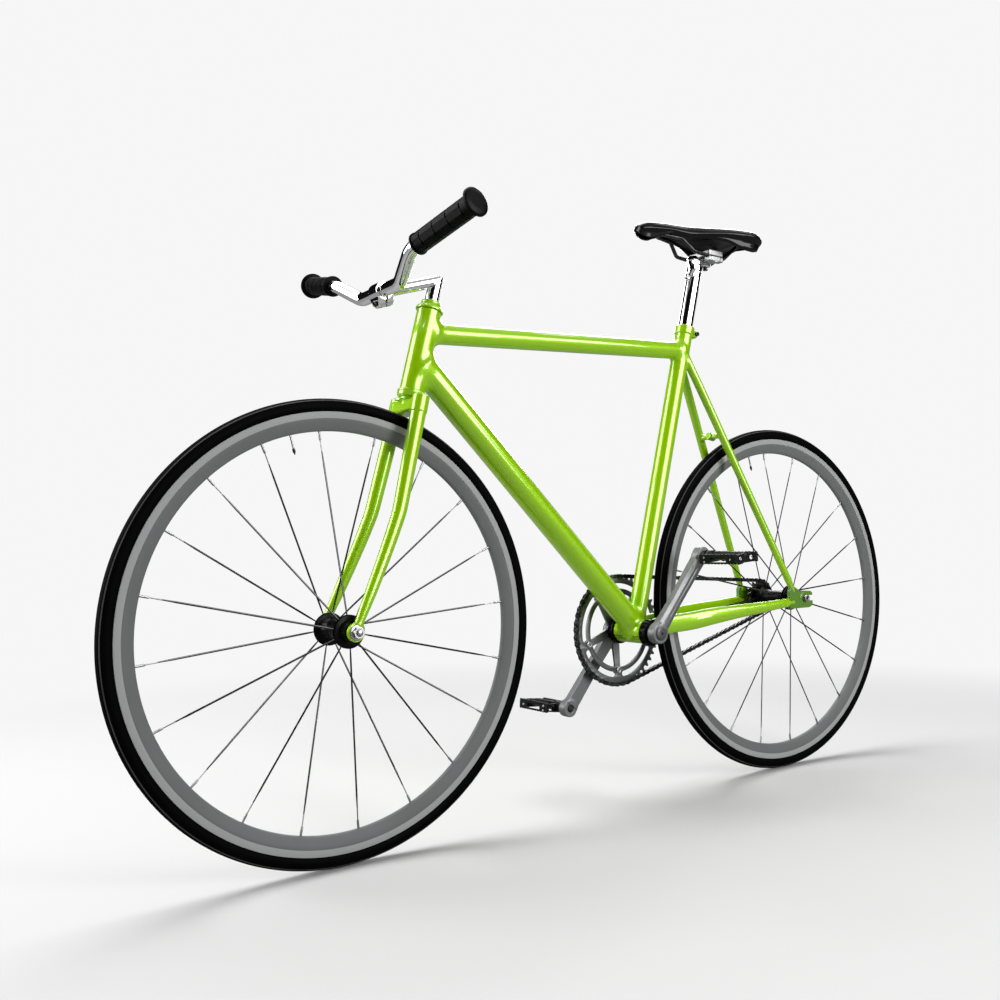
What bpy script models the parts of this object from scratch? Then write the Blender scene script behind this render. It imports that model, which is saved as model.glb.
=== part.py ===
# Single-speed track bike, modelled in metres.
# +X points forward, +Y to the rider's left, +Z up. The origin is on the ground, midway
# between the two wheel axles, in the bike's mid plane.

import math

import bmesh
import bpy
import numpy as np
from mathutils import Matrix, Vector

MM = 0.001
GAP = 0.3 * MM

# Wheels and tyres
WHEELBASE = 961 * MM
WHEEL_RADIUS = 334 * MM
WHEEL_SIDES = 40
SPOKES = 20
FIRST_SPOKE_DEG = 12.7
VALVE_SPOKE = 3.5
VALVE_RADIUS = 1.5 * MM
TYRE_HALF_WIDTH = 11.3 * MM
TYRE_BASE_RADIUS = 313 * MM
RIM_EDGE_RADIUS = 314.6 * MM
RIM_INNER_RADIUS = 287 * MM
RIM_HALF_WIDTH = 9.6 * MM
BRAKE_BAND_RADIUS = 304 * MM
RIM_BED_RADIUS = 305.6 * MM
STRIP_RADIUS = 307.2 * MM
NIPPLE_START_RADIUS = 278 * MM
NIPPLE_HOLE_RADIUS = 2.8 * MM
FLANGE_RADIUS = 24 * MM
FLANGE_Y = 31.5 * MM
FLANGE_HALF_THICKNESS = 3.2 * MM
FLANGE_GROOVE_HALF = 2 * MM
FLANGE_GROOVE_RADIUS = 18.5 * MM
SPOKE_ROOT_RADIUS = 19.2 * MM
HUB_BARREL_RADIUS = 15 * MM
HUB_HALF_LENGTH = 40 * MM
BEARING_OUTER_RADIUS = 13.1 * MM
BEARING_INNER_Y = 30 * MM
BEARING_SLEEVE_RADIUS = 8.5 * MM
FRONT_AXLE_RADIUS = 4.5 * MM
REAR_AXLE_RADIUS = 5.5 * MM

# Head tube and steering axis, which leans back at 75 degrees
STEER_X_AT_GROUND = 536.7 * MM
STEER_SLOPE = 0.26782
HEAD_TUBE_LOW_Z = 687 * MM
HEAD_TUBE_TOP_Z = 814.5 * MM
HEAD_TUBE_RADIUS = 19.2 * MM
CUP_INSERT = 14.7 * MM
CUP_BORE = 13.4 * MM
HEAD_CUP_RADIUS = 21.7 * MM
STEERER_RADIUS = 12.7 * MM
STEERER_TOP_Z = 828 * MM

# Frame tubes
BB = Vector((-94 * MM, 0, 292.5 * MM))
BB_SHELL_RADIUS = 20 * MM
CUP_SLEEVE = 17.3 * MM
BB_SHELL_HALF = 34 * MM
MAIN_TUBE_RADIUS = 15.9 * MM
DOWN_TUBE_RADIUS = 21.5 * MM
SEAT_TUBE_SLOPE = -0.269
SEAT_TUBE_OFFSET = 1.2 * MM
SEAT_TUBE_TOP_Z = 850 * MM
SEAT_TUBE_BORE_LOW_Z = 610 * MM
SEAT_COLLAR_LOW_Z = 835 * MM
SEAT_COLLAR_RADIUS = 18 * MM
SEAT_STAY_RADIUS = 8 * MM
DROPOUT_INNER_Y = 60 * MM
DROPOUT_OUTER_Y = 67 * MM
DROPOUT_SLOT_HALF = 5 * MM

# Fork
FORK_RAKE = 33 * MM
FORK_LENGTH = 379 * MM
FORK_EYE_RADIUS = 13.5 * MM
FORK_EYE_INNER_Y = 50 * MM
FORK_EYE_OUTER_Y = 56 * MM
CROWN_Z = 662 * MM
CROWN_TOP_Z = 672 * MM

# Drive: bush roller chain, half-inch pitch
CHAIN_PITCH = 12.7 * MM
RING_TEETH = 48
COG_TEETH = 16
CHAIN_LINKS = 94
CHAIN_Y = -44 * MM
CHAIN_INNER_HALF = 1.8 * MM
CHAIN_OUTER_HALF = 4 * MM
PLATE_HALF_HEIGHT = 4 * MM
ROLLER_LENGTH = 3.4 * MM
TOOTH_HALF_THICKNESS = 1.1 * MM
TOOTH_VALLEY = 4.6 * MM
TOOTH_TIP = 2.8 * MM
CRANK_LENGTH = 165 * MM
CRANK_ANGLE_DEG = 126.8
BOLT_CIRCLE_RADIUS = 72 * MM
CRANK_BOSS_RADIUS = 17.5 * MM
CRANK_INNER_Y = 49.5 * MM
CRANK_OUTER_Y = 66 * MM
CRANK_TIP_INNER_Y = 62 * MM
CRANK_TIP_OUTER_Y = 77.5 * MM
CRANK_EYE_RADIUS = 15 * MM
PEDAL_AXLE_RADIUS = 6.5 * MM
PEDAL_INNER_Y = 93 * MM
PEDAL_OUTER_Y = 174 * MM
PEDAL_HALF_LENGTH = 28.5 * MM
PEDAL_HALF_HEIGHT = 10 * MM
PEDAL_DROP = {1: 5 * MM, -1: 2 * MM}
PEDAL_WALL = 3.5 * MM
PEDAL_OPENING_X = 17.5 * MM
PEDAL_OPENING_LENGTH = 16 * MM
PEDAL_WINDOW = (30 * MM, 9 * MM)
CUT_THROUGH = 90 * MM

# Stem, handlebar and grips
STEM_ELBOW_Z = 863.9 * MM
BAR_CENTRE = Vector((403.9 * MM, 0, 834.4 * MM))
QUILL_RADIUS = 11.1 * MM
QUILL_LOW_Z = 760 * MM
ELBOW_CORNER = 9.5 * MM
EXTENSION_RADIUS = 9.5 * MM
BAR_RADIUS = 10.4 * MM
BAR_CLAMP_RADIUS = 14.2 * MM
BAR_CLAMP_HALF = 13.5 * MM
BAR_ELBOW_Y = 58.5 * MM
BAR_BEND = Vector((419.3 * MM, 117.5 * MM, 867 * MM))
GRIP_OFFSET = 16 * MM
GRIP_END = Vector((397.5 * MM, 250 * MM, 900 * MM))
GRIP_RADIUS = 15.5 * MM
GRIP_FLANGE_RADIUS = 21 * MM

# Seatpost and saddle
SEATPOST_RADIUS = 13.6 * MM
SEATPOST_BORE = 11 * MM
SEATPOST_LOW_Z = 745 * MM
TILT_PIVOT = Vector((-302.5 * MM, 0, 986.8 * MM))
RAIL_BACK = Vector((-326 * MM, 23 * MM, 985 * MM))
RAIL_FRONT = Vector((-249 * MM, 23 * MM, 990.8 * MM))
RAIL_RADIUS = 3.5 * MM
RAIL_Y = 23 * MM
RAIL_DIRECTION = (RAIL_FRONT - RAIL_BACK).normalized()

AXIS_LENGTH_PER_Z = math.hypot(1, STEER_SLOPE)
STEER_UP = Vector((-STEER_SLOPE, 0, 1)).normalized()
STEER_FORWARD = Vector((STEER_UP.z, 0, -STEER_UP.x))
SEAT_UP = Vector((SEAT_TUBE_SLOPE, 0, 1)).normalized()
SIDE = Vector((0, 1, 0))
FRONT_AXLE = Vector((WHEELBASE / 2, 0, WHEEL_RADIUS))
REAR_AXLE = Vector((-WHEELBASE / 2, 0, WHEEL_RADIUS))
FLAT_FACTOR = 1 / math.cos(math.pi / WHEEL_SIDES)

for old in list(bpy.data.objects):
    bpy.data.objects.remove(old, do_unlink=True)

bike = bpy.data.collections.new("track_bike")
helpers = bpy.data.collections.new("shaping_helpers")
bpy.context.scene.collection.children.link(bike)
bpy.context.scene.collection.children.link(helpers)


# Materials, and the empties that mark each joint

def material(name, colour, roughness, metallic):
    made = bpy.data.materials.new(name)
    made.use_nodes = True
    shader = made.node_tree.nodes["Principled BSDF"]
    shader.inputs["Base Color"].default_value = (*colour, 1)
    shader.inputs["Roughness"].default_value = roughness
    shader.inputs["Metallic"].default_value = metallic
    made.diffuse_color = (*colour, 1)
    return made


LIME = material("lime_paint", (0.22, 0.51, 0.003), 0.22, 0.0)
CHROME = material("chrome", (0.75, 0.75, 0.77), 0.08, 1.0)
STEEL = material("bright_steel", (0.5, 0.5, 0.52), 0.3, 1.0)
GREY_ALLOY = material("grey_alloy", (0.27, 0.28, 0.29), 0.38, 1.0)
BLACK_ALLOY = material("black_alloy", (0.012, 0.012, 0.014), 0.35, 0.6)
BLACK_STEEL = material("black_steel", (0.015, 0.015, 0.015), 0.4, 0.7)
RUBBER = material("tyre_rubber", (0.01, 0.01, 0.01), 0.75, 0.0)
GRIP_RUBBER = material("grip_rubber", (0.012, 0.012, 0.012), 0.6, 0.0)
LEATHER = material("black_leather", (0.014, 0.014, 0.015), 0.4, 0.0)
PLASTIC = material("black_plastic", (0.02, 0.02, 0.02), 0.5, 0.0)

joints = {}
joint_places = {}


def hang(obj, joint):
    """Parents an object to a joint's empty and keeps it where it is."""
    obj.parent = joints[joint]
    obj.matrix_parent_inverse = Matrix.Translation(-joint_places[joint])


def add_joint(name, location, parent=None):
    empty = bpy.data.objects.new(name, None)
    empty.empty_display_size = 0.03
    bike.objects.link(empty)
    empty.location = location
    if parent:
        hang(empty, parent)
    joints[name] = empty
    joint_places[name] = location.copy()


def steer_point(z, forward=0.0, side=0.0):
    base = Vector((STEER_X_AT_GROUND - STEER_SLOPE * z, 0, z))
    return base + STEER_FORWARD * forward + SIDE * side


def seat_point(z):
    return Vector((BB.x + SEAT_TUBE_OFFSET + SEAT_TUBE_SLOPE * (z - BB.z), 0, z))


# Modelling helpers

def hole(radius, sides):
    """Radius of a many-sided hole that clears a round piece of this radius."""
    return (radius + GAP) / math.cos(math.pi / sides)


def smooth(obj, angle_deg=35):
    obj.data.shade_smooth()
    obj.data.set_sharp_from_angle(angle=math.radians(angle_deg))


def from_bmesh(name, bm):
    mesh = bpy.data.meshes.new(name)
    bm.to_mesh(mesh)
    bm.free()
    obj = bpy.data.objects.new(name, mesh)
    helpers.objects.link(obj)
    return obj


def frame_matrix(origin, z_axis, x_axis=None):
    z_axis = Vector(z_axis).normalized()
    guide = Vector(x_axis) if x_axis else Vector((1, 0, 0))
    if abs(guide.normalized().dot(z_axis)) > 0.99:
        guide = Vector((0, 1, 0))
    y_axis = z_axis.cross(guide).normalized()
    x_axis = y_axis.cross(z_axis)
    rotation = Matrix((x_axis, y_axis, z_axis)).transposed().to_4x4()
    return Matrix.Translation(origin) @ rotation


def cylinder(start, end, radius, sides=16):
    start = Vector(start)
    end = Vector(end)
    length = (end - start).length
    bm = bmesh.new()
    bmesh.ops.create_cone(
        bm, cap_ends=True, segments=sides, radius1=radius, radius2=radius, depth=length,
        matrix=Matrix.Translation((0, 0, length / 2)))
    obj = from_bmesh("rod", bm)
    obj.matrix_world = frame_matrix(start, end - start)
    return obj


def box(size, centre, z_axis=(0, 0, 1), x_axis=(1, 0, 0), bevel=0.0):
    bm = bmesh.new()
    bmesh.ops.create_cube(bm, size=1, matrix=Matrix.Diagonal((*size, 1)))
    obj = from_bmesh("block", bm)
    obj.matrix_world = frame_matrix(centre, z_axis, x_axis)
    if bevel:
        modifier = obj.modifiers.new("rounded", "BEVEL")
        modifier.width = bevel
        modifier.segments = 1
    return obj


def turned(profile, origin, axis, sides=16, closed=True, turn=0.0):
    """Turns (radius, height) points about an axis. They run down the outer side first."""
    mesh = bpy.data.meshes.new("turned")
    cos_turn = math.cos(turn)
    sin_turn = math.sin(turn)
    points = [(r * cos_turn, r * sin_turn, h) for r, h in profile]
    edges = [(i, i + 1) for i in range(len(points) - 1)]
    if closed:
        edges.append((len(points) - 1, 0))
    mesh.from_pydata(points, edges, [])
    obj = bpy.data.objects.new("turned", mesh)
    helpers.objects.link(obj)
    obj.matrix_world = frame_matrix(origin, axis)
    screw = obj.modifiers.new("turn", "SCREW")
    screw.axis = "Z"
    screw.angle = math.tau
    screw.steps = sides
    screw.render_steps = sides
    screw.use_merge_vertices = True
    screw.merge_threshold = 0.000005
    return obj


def ring(inner, outer, low, high, origin, axis, sides=16):
    profile = [(outer, high), (outer, low), (inner, low), (inner, high)]
    return turned(profile, origin, axis, sides)


def as_mesh(obj):
    """Replaces a curve with the mesh that it draws, its loose caps welded on."""
    bpy.context.view_layer.update()
    evaluated = obj.evaluated_get(bpy.context.evaluated_depsgraph_get())
    mesh = bpy.data.meshes.new_from_object(evaluated)
    bm = bmesh.new()
    bm.from_mesh(mesh)
    bmesh.ops.remove_doubles(bm, verts=bm.verts, dist=0.000002)
    bmesh.ops.recalc_face_normals(bm, faces=bm.faces)
    bm.to_mesh(mesh)
    bm.free()
    made = bpy.data.objects.new(obj.name, mesh)
    helpers.objects.link(made)
    made.matrix_world = obj.matrix_world.copy()
    bpy.data.objects.remove(obj, do_unlink=True)
    return made


def swept(points, radius, resolution=2, taper=None):
    """A round bar along points, with a radius factor for each point if taper is given."""
    curve = bpy.data.curves.new("swept", "CURVE")
    curve.dimensions = "3D"
    curve.bevel_depth = radius
    curve.bevel_resolution = resolution
    curve.use_fill_caps = True
    spline = curve.splines.new("POLY")
    spline.points.add(len(points) - 1)
    for i, point in enumerate(points):
        spline.points[i].co = (*point, 1)
        spline.points[i].radius = taper[i] if taper else 1
    obj = bpy.data.objects.new("swept", curve)
    helpers.objects.link(obj)
    return as_mesh(obj)


def plate(outlines, thickness, origin, x_axis, y_axis):
    """A flat plate from closed outlines, the first one round the holes."""
    curve = bpy.data.curves.new("plate", "CURVE")
    curve.dimensions = "2D"
    curve.fill_mode = "BOTH"
    curve.extrude = thickness / 2
    for outline in outlines:
        spline = curve.splines.new("POLY")
        spline.points.add(len(outline) - 1)
        spline.use_cyclic_u = True
        for i, (u, v) in enumerate(outline):
            spline.points[i].co = (u, v, 0, 1)
    obj = bpy.data.objects.new("plate", curve)
    helpers.objects.link(obj)
    x_axis = Vector(x_axis)
    y_axis = Vector(y_axis)
    rotation = Matrix((x_axis, y_axis, x_axis.cross(y_axis))).transposed().to_4x4()
    obj.matrix_world = Matrix.Translation(origin) @ rotation
    return as_mesh(obj)


def lofted(rings):
    """Skins a list of equal rings of points, and closes both ends."""
    count = len(rings[0])
    bm = bmesh.new()
    rows = [[bm.verts.new(point) for point in points] for points in rings]
    for low, high in zip(rows, rows[1:]):
        for i in range(count):
            j = (i + 1) % count
            bm.faces.new((low[i], low[j], high[j], high[i]))
    bm.faces.new(rows[0][::-1])
    bm.faces.new(rows[-1])
    bmesh.ops.recalc_face_normals(bm, faces=bm.faces)
    return from_bmesh("lofted", bm)


def rounded_path(corners, radii, steps=4):
    """Points along straight runs whose inner corners are rounded."""
    path = [Vector(corners[0])]
    for before, corner, after, radius in zip(corners, corners[1:], corners[2:], radii):
        into = (Vector(corner) - Vector(before)).normalized()
        out = (Vector(after) - Vector(corner)).normalized()
        reach = radius * math.tan(into.angle(out) / 2)
        start = Vector(corner) - into * reach
        end = Vector(corner) + out * reach
        for i in range(steps + 1):
            t = i / steps
            path.append(start * (1 - t) ** 2 + Vector(corner) * 2 * t * (1 - t) + end * t * t)
    path.append(Vector(corners[-1]))
    return path


def combine(first, others, operation):
    for other in others:
        modifier = first.modifiers.new(operation.lower(), "BOOLEAN")
        modifier.operation = operation
        modifier.object = other
        modifier.solver = "EXACT"
        other.hide_render = True
        other.display_type = "WIRE"


def piece(name, body, look, first, joined=(), cut=()):
    """Names a finished piece, joins and cuts it, and hangs it on its joint."""
    combine(first, joined, "UNION")
    combine(first, cut, "DIFFERENCE")
    first.name = name
    first.data.name = name
    first.data.materials.clear()
    first.data.materials.append(look)
    helpers.objects.unlink(first)
    bike.objects.link(first)
    hang(first, body)
    if first.data.polygons:
        smooth(first)
    return first


add_joint("frame_root", Vector((0, 0, 0)))
add_joint("steering", steer_point(HEAD_TUBE_LOW_Z), "frame_root")
add_joint("stem_slide", steer_point(STEERER_TOP_Z), "steering")
add_joint("bar_roll", BAR_CENTRE, "stem_slide")
add_joint("front_wheel_axis", FRONT_AXLE, "steering")
add_joint("rear_wheel_axis", REAR_AXLE, "frame_root")
add_joint("crank_axis", BB, "frame_root")
CRANK_ANGLE = math.radians(CRANK_ANGLE_DEG)
CRANK_DIRECTION = Vector((math.cos(CRANK_ANGLE), 0, math.sin(CRANK_ANGLE)))
PEDAL_EYE = {1: BB + CRANK_DIRECTION * CRANK_LENGTH, -1: BB - CRANK_DIRECTION * CRANK_LENGTH}
add_joint("pedal_axis_left", PEDAL_EYE[1], "crank_axis")
add_joint("pedal_axis_right", PEDAL_EYE[-1], "crank_axis")
add_joint("seatpost_slide", seat_point(SEAT_TUBE_TOP_Z), "frame_root")
add_joint("saddle_tilt", TILT_PIVOT, "seatpost_slide")
bpy.context.view_layer.update()


# Frame

def mirrored(points):
    return [Vector((p[0], -p[1], p[2])) for p in points]


def stay_ring(centre, along, half_width, half_height, sides=8):
    across = along.cross(Vector((0, 0, 1))).normalized()
    upward = across.cross(along).normalized()
    angles = [math.tau * i / sides for i in range(sides)]
    return [centre + across * half_width * math.cos(a) + upward * half_height * math.sin(a)
            for a in angles]


# Chain stay stations: x, y and z of the centre, half width, half height
CHAIN_STAY = (
    (-104, 20, 295.0, 8.0, 15.0), (-140, 23, 301.3, 8.5, 16.6), (-205, 31.5, 306.0, 8.0, 16.8),
    (-245, 40.5, 311.5, 8.5, 15.8), (-300, 48.7, 317, 8.4, 13.3), (-355, 55, 321.0, 7.8, 11.0),
    (-410, 60.5, 325.5, 6.6, 9.0), (-450, 63.5, 328.3, 4.0, 8.0))


def chain_stay(side):
    centres = [Vector((x, side * y, z)) * MM for x, y, z, _, _ in CHAIN_STAY]
    rings = []
    for i, (_, _, _, half_width, half_height) in enumerate(CHAIN_STAY):
        along = centres[min(i + 1, len(centres) - 1)] - centres[max(i - 1, 0)]
        rings.append(stay_ring(centres[i], along.normalized(), half_width * MM, half_height * MM))
    return lofted(rings)


def seat_stay(side):
    path = [(-233, 8.6, 791), (-258.5, 15.7, 740), (-439.5, 62, 370), (-449.5, 63.5, 349)]
    points = [Vector((x, side * y, z)) * MM for x, y, z in path]
    return swept(points, SEAT_STAY_RADIUS, 2, [1, 1, 0.85, 0.55])


def dropout(side):
    axle_z = WHEEL_RADIUS / MM
    slot = DROPOUT_SLOT_HALF / MM
    outline = [(-437, 315.6), (-494, 315.6), (-502, 318.5), (-505, 322), (-505, axle_z - slot),
               (-478, axle_z - slot), (-474.6, axle_z - 3.5), (-473.2, axle_z),
               (-474.6, axle_z + 3.5), (-478, axle_z + slot), (-505, axle_z + slot),
               (-503.5, 345), (-498, 347.5), (-466, 349.5), (-454, 356), (-441, 356), (-437, 350)]
    outline = [(x * MM, z * MM) for x, z in outline]
    middle = side * (DROPOUT_INNER_Y + DROPOUT_OUTER_Y) / 2
    return plate([outline], DROPOUT_OUTER_Y - DROPOUT_INNER_Y, (0, middle, 0),
                 (1, 0, 0), (0, 0, 1))


head_tube = cylinder(steer_point(HEAD_TUBE_LOW_Z), steer_point(HEAD_TUBE_TOP_Z),
                     HEAD_TUBE_RADIUS, 16)
top_tube = cylinder((327.1 * MM, 0, 779.5 * MM), (-225.1 * MM, 0, 804.5 * MM),
                    MAIN_TUBE_RADIUS, 12)
down_tube = cylinder((339.3 * MM, 0, 734.2 * MM), (-96.8 * MM, 0, 298.9 * MM),
                     DOWN_TUBE_RADIUS, 14)
seat_tube = cylinder(seat_point(BB.z), seat_point(SEAT_TUBE_TOP_Z), MAIN_TUBE_RADIUS, 14)
seat_collar = cylinder(seat_point(SEAT_COLLAR_LOW_Z), seat_point(SEAT_TUBE_TOP_Z),
                       SEAT_COLLAR_RADIUS, 14)
bb_shell = cylinder(BB - SIDE * BB_SHELL_HALF, BB + SIDE * BB_SHELL_HALF, BB_SHELL_RADIUS, 16)
CLAMP_EAR_Z = 838 * MM
ear_centre = seat_point(CLAMP_EAR_Z) - Vector((21.5 * MM, 0, 0))
clamp_ear = box((13 * MM, 17 * MM, 13 * MM), ear_centre, SEAT_UP, (1, 0, 0), 2 * MM)
BRIDGE = Vector((-304, 0, 647)) * MM
stay_bridge = cylinder(BRIDGE - SIDE * 27.3 * MM, BRIDGE + SIDE * 27.3 * MM, 5 * MM, 8)
bridge_mount = cylinder(BRIDGE - Vector((8, 0, 2)) * MM, BRIDGE + Vector((8, 0, 2)) * MM,
                        7 * MM, 8)

head_bore = cylinder(steer_point(HEAD_TUBE_LOW_Z - 20 * MM),
                     steer_point(HEAD_TUBE_TOP_Z + 20 * MM), hole(CUP_INSERT, 14), 14)
seat_bore = cylinder(seat_point(SEAT_TUBE_BORE_LOW_Z), seat_point(SEAT_TUBE_TOP_Z + 20 * MM),
                     hole(SEATPOST_RADIUS, 14), 14)
shell_bore = cylinder(BB - SIDE * 50 * MM, BB + SIDE * 50 * MM, hole(CUP_SLEEVE, 14), 14)
ear_slit = box((26 * MM, 1.6 * MM, 30 * MM), ear_centre - Vector((1 * MM, 0, 0)), SEAT_UP)
CLAMP_BOLT = ear_centre - Vector((2.5 * MM, 0, 0))
ear_hole = cylinder(CLAMP_BOLT - SIDE * 20 * MM, CLAMP_BOLT + SIDE * 20 * MM, 2.8 * MM, 8)

piece("frame", "frame_root", LIME, head_tube,
      [down_tube, top_tube, seat_tube, seat_collar, bb_shell, chain_stay(1), chain_stay(-1),
       seat_stay(1), seat_stay(-1), dropout(1), dropout(-1), stay_bridge, bridge_mount,
       clamp_ear],
      [head_bore, seat_bore, shell_bore, ear_slit, ear_hole])

bolt_half = 8.8 * MM
piece("seat_clamp_bolt", "frame_root", BLACK_STEEL,
      turned([(0, bolt_half + 4 * MM), (4.2 * MM, bolt_half + 4 * MM), (4.2 * MM, bolt_half),
              (2.4 * MM, bolt_half), (2.4 * MM, -bolt_half), (4.2 * MM, -bolt_half),
              (4.2 * MM, -bolt_half - 3 * MM), (0, -bolt_half - 3 * MM)],
             CLAMP_BOLT, SIDE, 7, False))


# Headset cups in the head tube, races and locknut on the steerer

def steer_height(z):
    """Distance up the steering axis from the head tube's lower end."""
    return (z - HEAD_TUBE_LOW_Z) * AXIS_LENGTH_PER_Z


STEER_BASE = steer_point(HEAD_TUBE_LOW_Z)
low_cup_top = -GAP
low_cup_bottom = steer_height(676.8 * MM)
piece("headset_cup_lower", "frame_root", LIME,
      turned([(CUP_INSERT, 11 * MM), (CUP_INSERT, low_cup_top), (HEAD_CUP_RADIUS, low_cup_top),
              (19.8 * MM, low_cup_bottom), (CUP_BORE, low_cup_bottom), (CUP_BORE, 11 * MM)],
             STEER_BASE, STEER_UP, 16))
head_top = steer_height(HEAD_TUBE_TOP_Z)
up_cup_top = steer_height(819.6 * MM)
piece("headset_cup_upper", "frame_root", LIME,
      turned([(20.8 * MM, up_cup_top), (HEAD_CUP_RADIUS, head_top + GAP),
              (CUP_INSERT, head_top + GAP),
              (CUP_INSERT, head_top - 11 * MM), (CUP_BORE, head_top - 11 * MM),
              (CUP_BORE, up_cup_top)],
             STEER_BASE, STEER_UP, 16))
race_low = steer_height(CROWN_TOP_Z) + GAP
race_top = low_cup_bottom - GAP
piece("crown_race", "steering", STEEL,
      ring(hole(STEERER_RADIUS, 12), 16.6 * MM, race_low, race_top, STEER_BASE, STEER_UP, 12))
race_base = up_cup_top + GAP
race_height = 4.6 * MM
race_hole = hole(STEERER_RADIUS, 12)
piece("headset_top_race", "steering", LIME,
      turned([(15.6 * MM, race_base + race_height), (16.8 * MM, race_base),
              (race_hole, race_base), (race_hole, race_base + race_height)],
             STEER_BASE, STEER_UP, 12))
nut_base = race_base + race_height + GAP
nut_top = steer_height(829.2 * MM)
piece("headset_locknut", "steering", LIME,
      turned([(15.4 * MM, nut_top), (15.6 * MM, nut_base),
              (race_hole, nut_base), (race_hole, nut_top)],
             STEER_BASE, STEER_UP, 12))


# Fork: steerer, crown, two blades that curve forward, and closed fork ends

FORK_TOP_Z = 700 * MM
BLADE_TOP_Y = 33.5 * MM
BLADE_TIP_Y = 53 * MM


def blade_point(drop, side):
    """A point on a blade's centre line, drop metres down the axis from FORK_TOP_Z."""
    bent = max(0.0, (drop - 200 * MM) / (FORK_LENGTH - 200 * MM))
    straight = (drop - 30 * MM) / (FORK_LENGTH - 30 * MM)
    y = BLADE_TOP_Y + (BLADE_TIP_Y - BLADE_TOP_Y) * straight
    point = steer_point(FORK_TOP_Z - drop / AXIS_LENGTH_PER_Z)
    forward = FORK_RAKE * bent ** 1.2 * AXIS_LENGTH_PER_Z
    return point + Vector((forward, side * y, 0))


def fork_blade(side):
    drops = [30, 60, 195, 240, 285, 325, 368]
    radii = [12, 12, 11, 10.3, 9.4, 8.5, 6.4]
    points = [blade_point(drop * MM, side) for drop in drops]
    return swept(points, 12 * MM, 2, [radius / 12 for radius in radii])


def fork_socket(side):
    return cylinder(blade_point(50 * MM, side), blade_point(24 * MM, side), 12.9 * MM, 12)


def fork_eye(side):
    inner = FRONT_AXLE + SIDE * side * FORK_EYE_INNER_Y
    outer = FRONT_AXLE + SIDE * side * FORK_EYE_OUTER_Y
    return cylinder(inner, outer, FORK_EYE_RADIUS, 14)


steerer = cylinder(steer_point(CROWN_Z), steer_point(STEERER_TOP_Z), STEERER_RADIUS, 14)
crown = box((25 * MM, 64 * MM, 20.6 * MM), steer_point(CROWN_Z), STEER_UP, (1, 0, 0), 4 * MM)
steerer_bore = cylinder(steer_point(CROWN_Z - 30 * MM), steer_point(STEERER_TOP_Z + 10 * MM),
                        hole(QUILL_RADIUS, 12), 12)
axle_hole = cylinder(FRONT_AXLE - SIDE * 70 * MM, FRONT_AXLE + SIDE * 70 * MM,
                     hole(FRONT_AXLE_RADIUS, 10), 10)
piece("fork", "steering", LIME, crown,
      [steerer, fork_blade(1), fork_blade(-1), fork_socket(1), fork_socket(-1),
       fork_eye(1), fork_eye(-1)],
      [steerer_bore, axle_hole])


def spool(radii_heights, centre, axis, sides):
    """A solid of revolution from (radius, height) pairs, listed from the top down."""
    top = radii_heights[0][1]
    bottom = radii_heights[-1][1]
    return turned([(0, top), *radii_heights, (0, bottom)], centre, axis, sides, False)


piece("front_axle", "steering", STEEL,
      cylinder(FRONT_AXLE - SIDE * 68 * MM, FRONT_AXLE + SIDE * 68 * MM, FRONT_AXLE_RADIUS, 10),
      [cylinder(FRONT_AXLE + SIDE * side * 41 * MM, FRONT_AXLE + SIDE * side * 49.7 * MM,
                6.6 * MM, 10) for side in (1, -1)])
for side, label in ((1, "left"), (-1, "right")):
    nut_axis = SIDE * side
    flange = cylinder(FRONT_AXLE + nut_axis * 56.3 * MM, FRONT_AXLE + nut_axis * 58.2 * MM,
                      11.2 * MM, 12)
    hexagon = cylinder(FRONT_AXLE + nut_axis * 57.6 * MM, FRONT_AXLE + nut_axis * 65 * MM,
                       8.6 * MM, 6)
    thread = cylinder(FRONT_AXLE + nut_axis * 50 * MM, FRONT_AXLE + nut_axis * 75 * MM,
                      hole(FRONT_AXLE_RADIUS, 8), 8)
    piece(f"front_axle_nut_{label}", "steering", STEEL, flange, [hexagon], [thread])


# Quill stem, with the expander bolt and wedge that grip inside the steerer

STEM_ELBOW = steer_point(STEM_ELBOW_Z)
EXTENSION = (BAR_CENTRE - STEM_ELBOW).normalized()
EXTENSION_DOWN = Vector((EXTENSION.z, 0, -EXTENSION.x))
ELBOW_OUTWARD = (STEER_UP - EXTENSION).normalized()
MITRE_NORMAL = (STEER_UP + EXTENSION).normalized()
TRIM_DEPTH = 60 * MM


def elbow_trim(direction, distance):
    """A block that cuts away all that lies beyond a plane across the elbow."""
    centre = STEM_ELBOW + direction * (distance + TRIM_DEPTH / 2)
    return box((80 * MM, 80 * MM, TRIM_DEPTH), centre, direction, SIDE)


def clamp_point(along, down, side=0.0):
    return BAR_CENTRE + EXTENSION * along + EXTENSION_DOWN * down + SIDE * side


def clamp_ears():
    """The block under the bar that carries the clamp bolt, narrower towards its foot."""
    stations = ((0, 13.5, 13.4), (9, 13.4, 13.4), (17, 13.2, 8.6), (22.6, 11.8, 6.6))
    rings = []
    for down, reach, half in stations:
        corner = 2
        points = ((reach, half - corner), (reach - corner, half), (corner - reach, half),
                  (-reach, half - corner), (-reach, corner - half), (corner - reach, -half),
                  (reach - corner, -half), (reach, corner - half))
        rings.append([clamp_point(u * MM, down * MM, v * MM) for u, v in points])
    return lofted(rings)


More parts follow.
